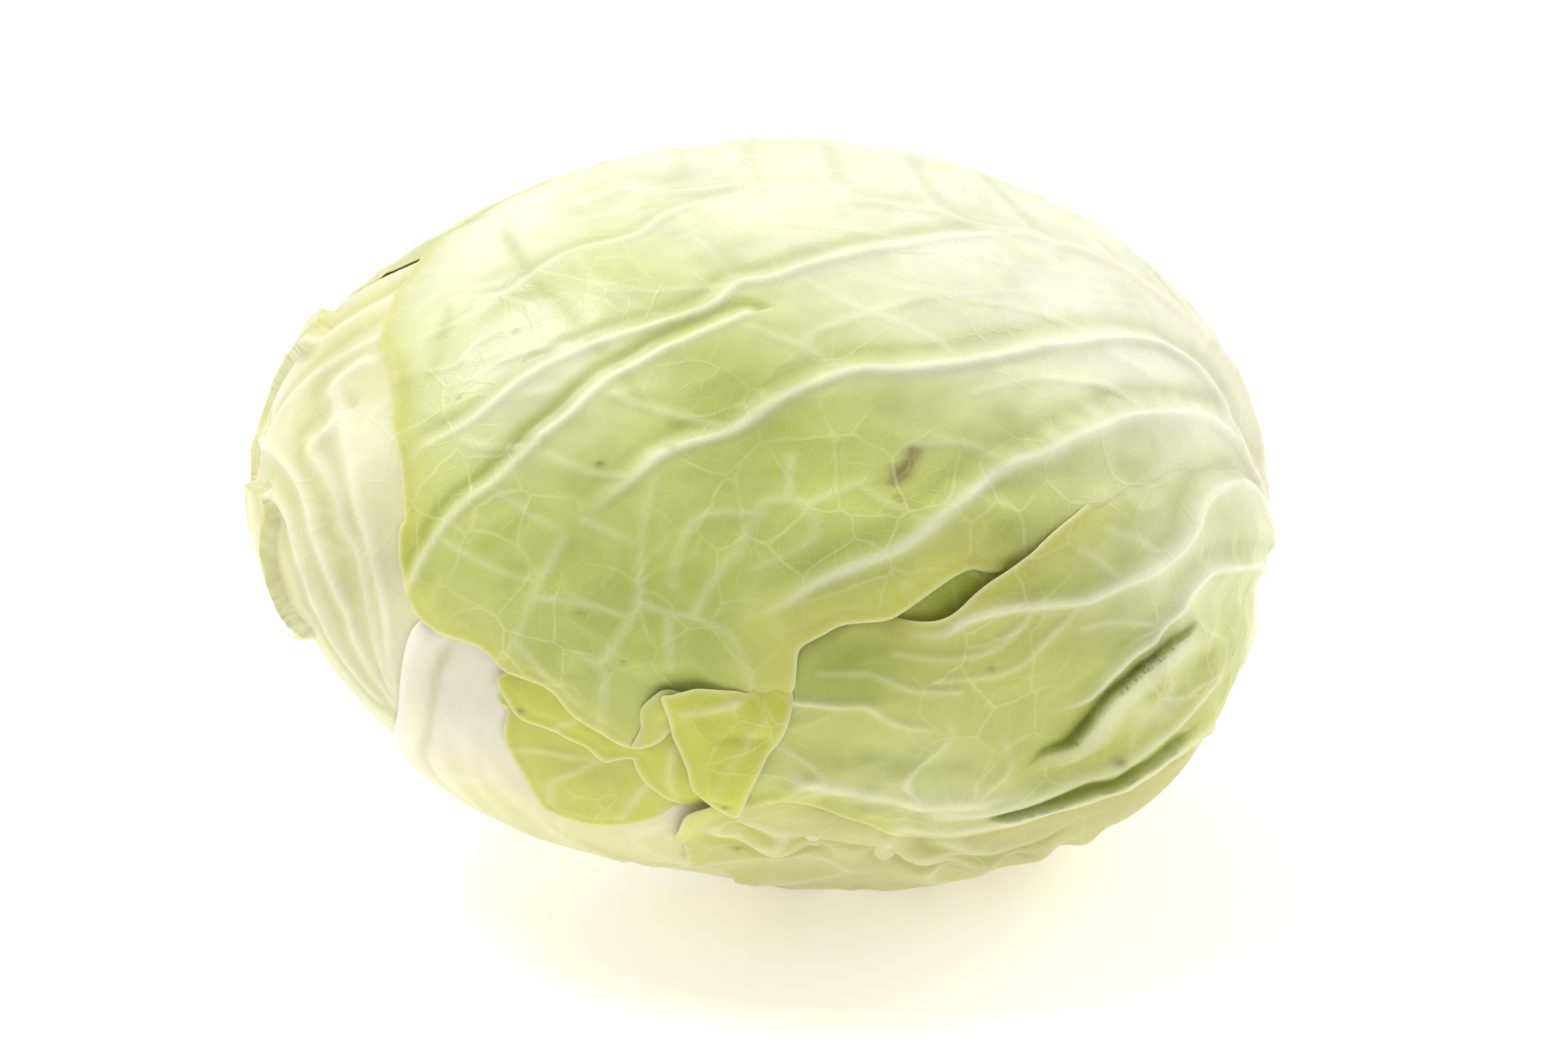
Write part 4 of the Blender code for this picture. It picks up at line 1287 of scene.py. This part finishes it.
add_inner_head()
add_stump()
lay_leaf("inner_back", "inner_back", BACK, INNER_BACK_EDGE, 1.1, inner_back, INNER_LEAF,
      "inner_back_leaf")
lay_leaf("crown", "crown", CROWN, CROWN_EDGE, 0.8, crown, CROWN_LEAF, "crown_leaf",
      marks=FRONT)
lay_leaf("cup", "cup", FRONT, CUP_EDGE, 0.9, cup, CUP_LEAF, "left_cup_leaf")
lay_leaf("lower_inner", "lower_inner", FRONT, LOWER_INNER_EDGE, 0.5, lower_inner, MARGIN_LEAF,
      "lower_inner_leaf")
lay_leaf("upper_inner", "upper_inner", FRONT, UPPER_INNER_EDGE, 0.5, upper_inner, MARGIN_LEAF,
      "upper_inner_leaf")
lay_leaf("back", "back", BACK, BACK_EDGE, 0.8, back, BACK_LEAF, "back_wrapper_leaf")
lay_leaf("under", "under", UNDER, UNDER_EDGE, 0.8, under, UNDER_LEAF, "under_leaf")
lay_leaf("front_lower", "lower_front", FRONT, LOWER_FRONT_EDGE, 0.42, lower_front, FRONT_LEAF,
      "front_wrapper_leaf")
lay_leaf("front_upper", "upper_front", FRONT, UPPER_FRONT_EDGE, 0.57, upper_front, FRONT_LEAF,
      "front_wrapper_leaf")
lay_leaf("front_tongue", "upper_front", FRONT, TONGUE_EDGE, 0.4, tongue, FLAP_LEAF,
      "front_wrapper_leaf", thick=0.5 * MM)
lay_leaf("front_flap", "upper_front", FRONT, FLAP_EDGE, 0.4, flap, FLAP_LEAF,
      "front_wrapper_leaf", thick=0.6 * MM)


# ---------------------------------------------------------------- floor, light and camera
def add_floor():
    """A wide plain pale floor."""
    half = 6.0
    mesh = bpy.data.meshes.new("floor")
    mesh.from_pydata([(-half, -half, 0), (half, -half, 0), (half, half, 0), (-half, half, 0)], [],
                     [(0, 1, 2, 3)])
    material = bpy.data.materials.new("floor_white")
    material.use_nodes = True
    shader = material.node_tree.nodes["Principled BSDF"]
    shader.inputs["Base Color"].default_value = (0.92, 0.92, 0.91, 1.0)
    shader.inputs["Roughness"].default_value = 0.6
    shader.inputs["Emission Color"].default_value = (1.0, 0.97, 0.92, 1.0)
    shader.inputs["Emission Strength"].default_value = 0.36
    mesh.materials.append(material)
    floor = bpy.data.objects.new("floor", mesh)
    floor.location.z = -0.0002
    bpy.context.scene.collection.objects.link(floor)


def aim(thing, target):
    """Turn a camera or lamp so that its -Z axis points at the target."""
    thing.rotation_euler = (Vector(target) - thing.location).to_track_quat("-Z", "Y").to_euler()


def add_lamp(name, place, size, power, colour=(1.0, 1.0, 1.0)):
    """A square area lamp aimed at the head."""
    data = bpy.data.lights.new(name, "AREA")
    data.size = size
    data.energy = power
    data.color = colour
    lamp = bpy.data.objects.new(name, data)
    lamp.location = place
    bpy.context.scene.collection.objects.link(lamp)
    aim(lamp, CENTRE)


VIEW_TURN, VIEW_RISE = -18.0, 27.0    # degrees: left of the front, and up
VIEW_DISTANCE = 0.771


def add_camera():
    """A camera a little to the left of the front, looking down at the head."""
    data = bpy.data.cameras.new("camera")
    data.lens = 85.0
    data.sensor_width = 36.0
    camera = bpy.data.objects.new("camera", data)
    turn, rise = np.radians(VIEW_TURN), np.radians(VIEW_RISE)
    back_way = np.array([np.sin(turn) * np.cos(rise), -np.cos(turn) * np.cos(rise), np.sin(rise)])
    target = CENTRE + np.array([0.0023, 0.0, -0.0037])
    camera.location = target + VIEW_DISTANCE * back_way
    bpy.context.scene.collection.objects.link(camera)
    aim(camera, target)
    bpy.context.scene.camera = camera


add_floor()
add_lamp("key", (-0.45, 0.15, 1.05), 0.4, 8.6, (1.0, 0.99, 0.97))
add_lamp("side", (1.1, 0.1, 0.7), 0.8, 7.0)
add_camera()

world = bpy.data.worlds.new("world")
bpy.context.scene.world = world
world.use_nodes = True
sky = world.node_tree.nodes["Background"].inputs
sky["Color"].default_value = (1.0, 1.0, 1.0, 1.0)
sky["Strength"].default_value = 0.60
bpy.context.scene.view_settings.view_transform = "Standard"
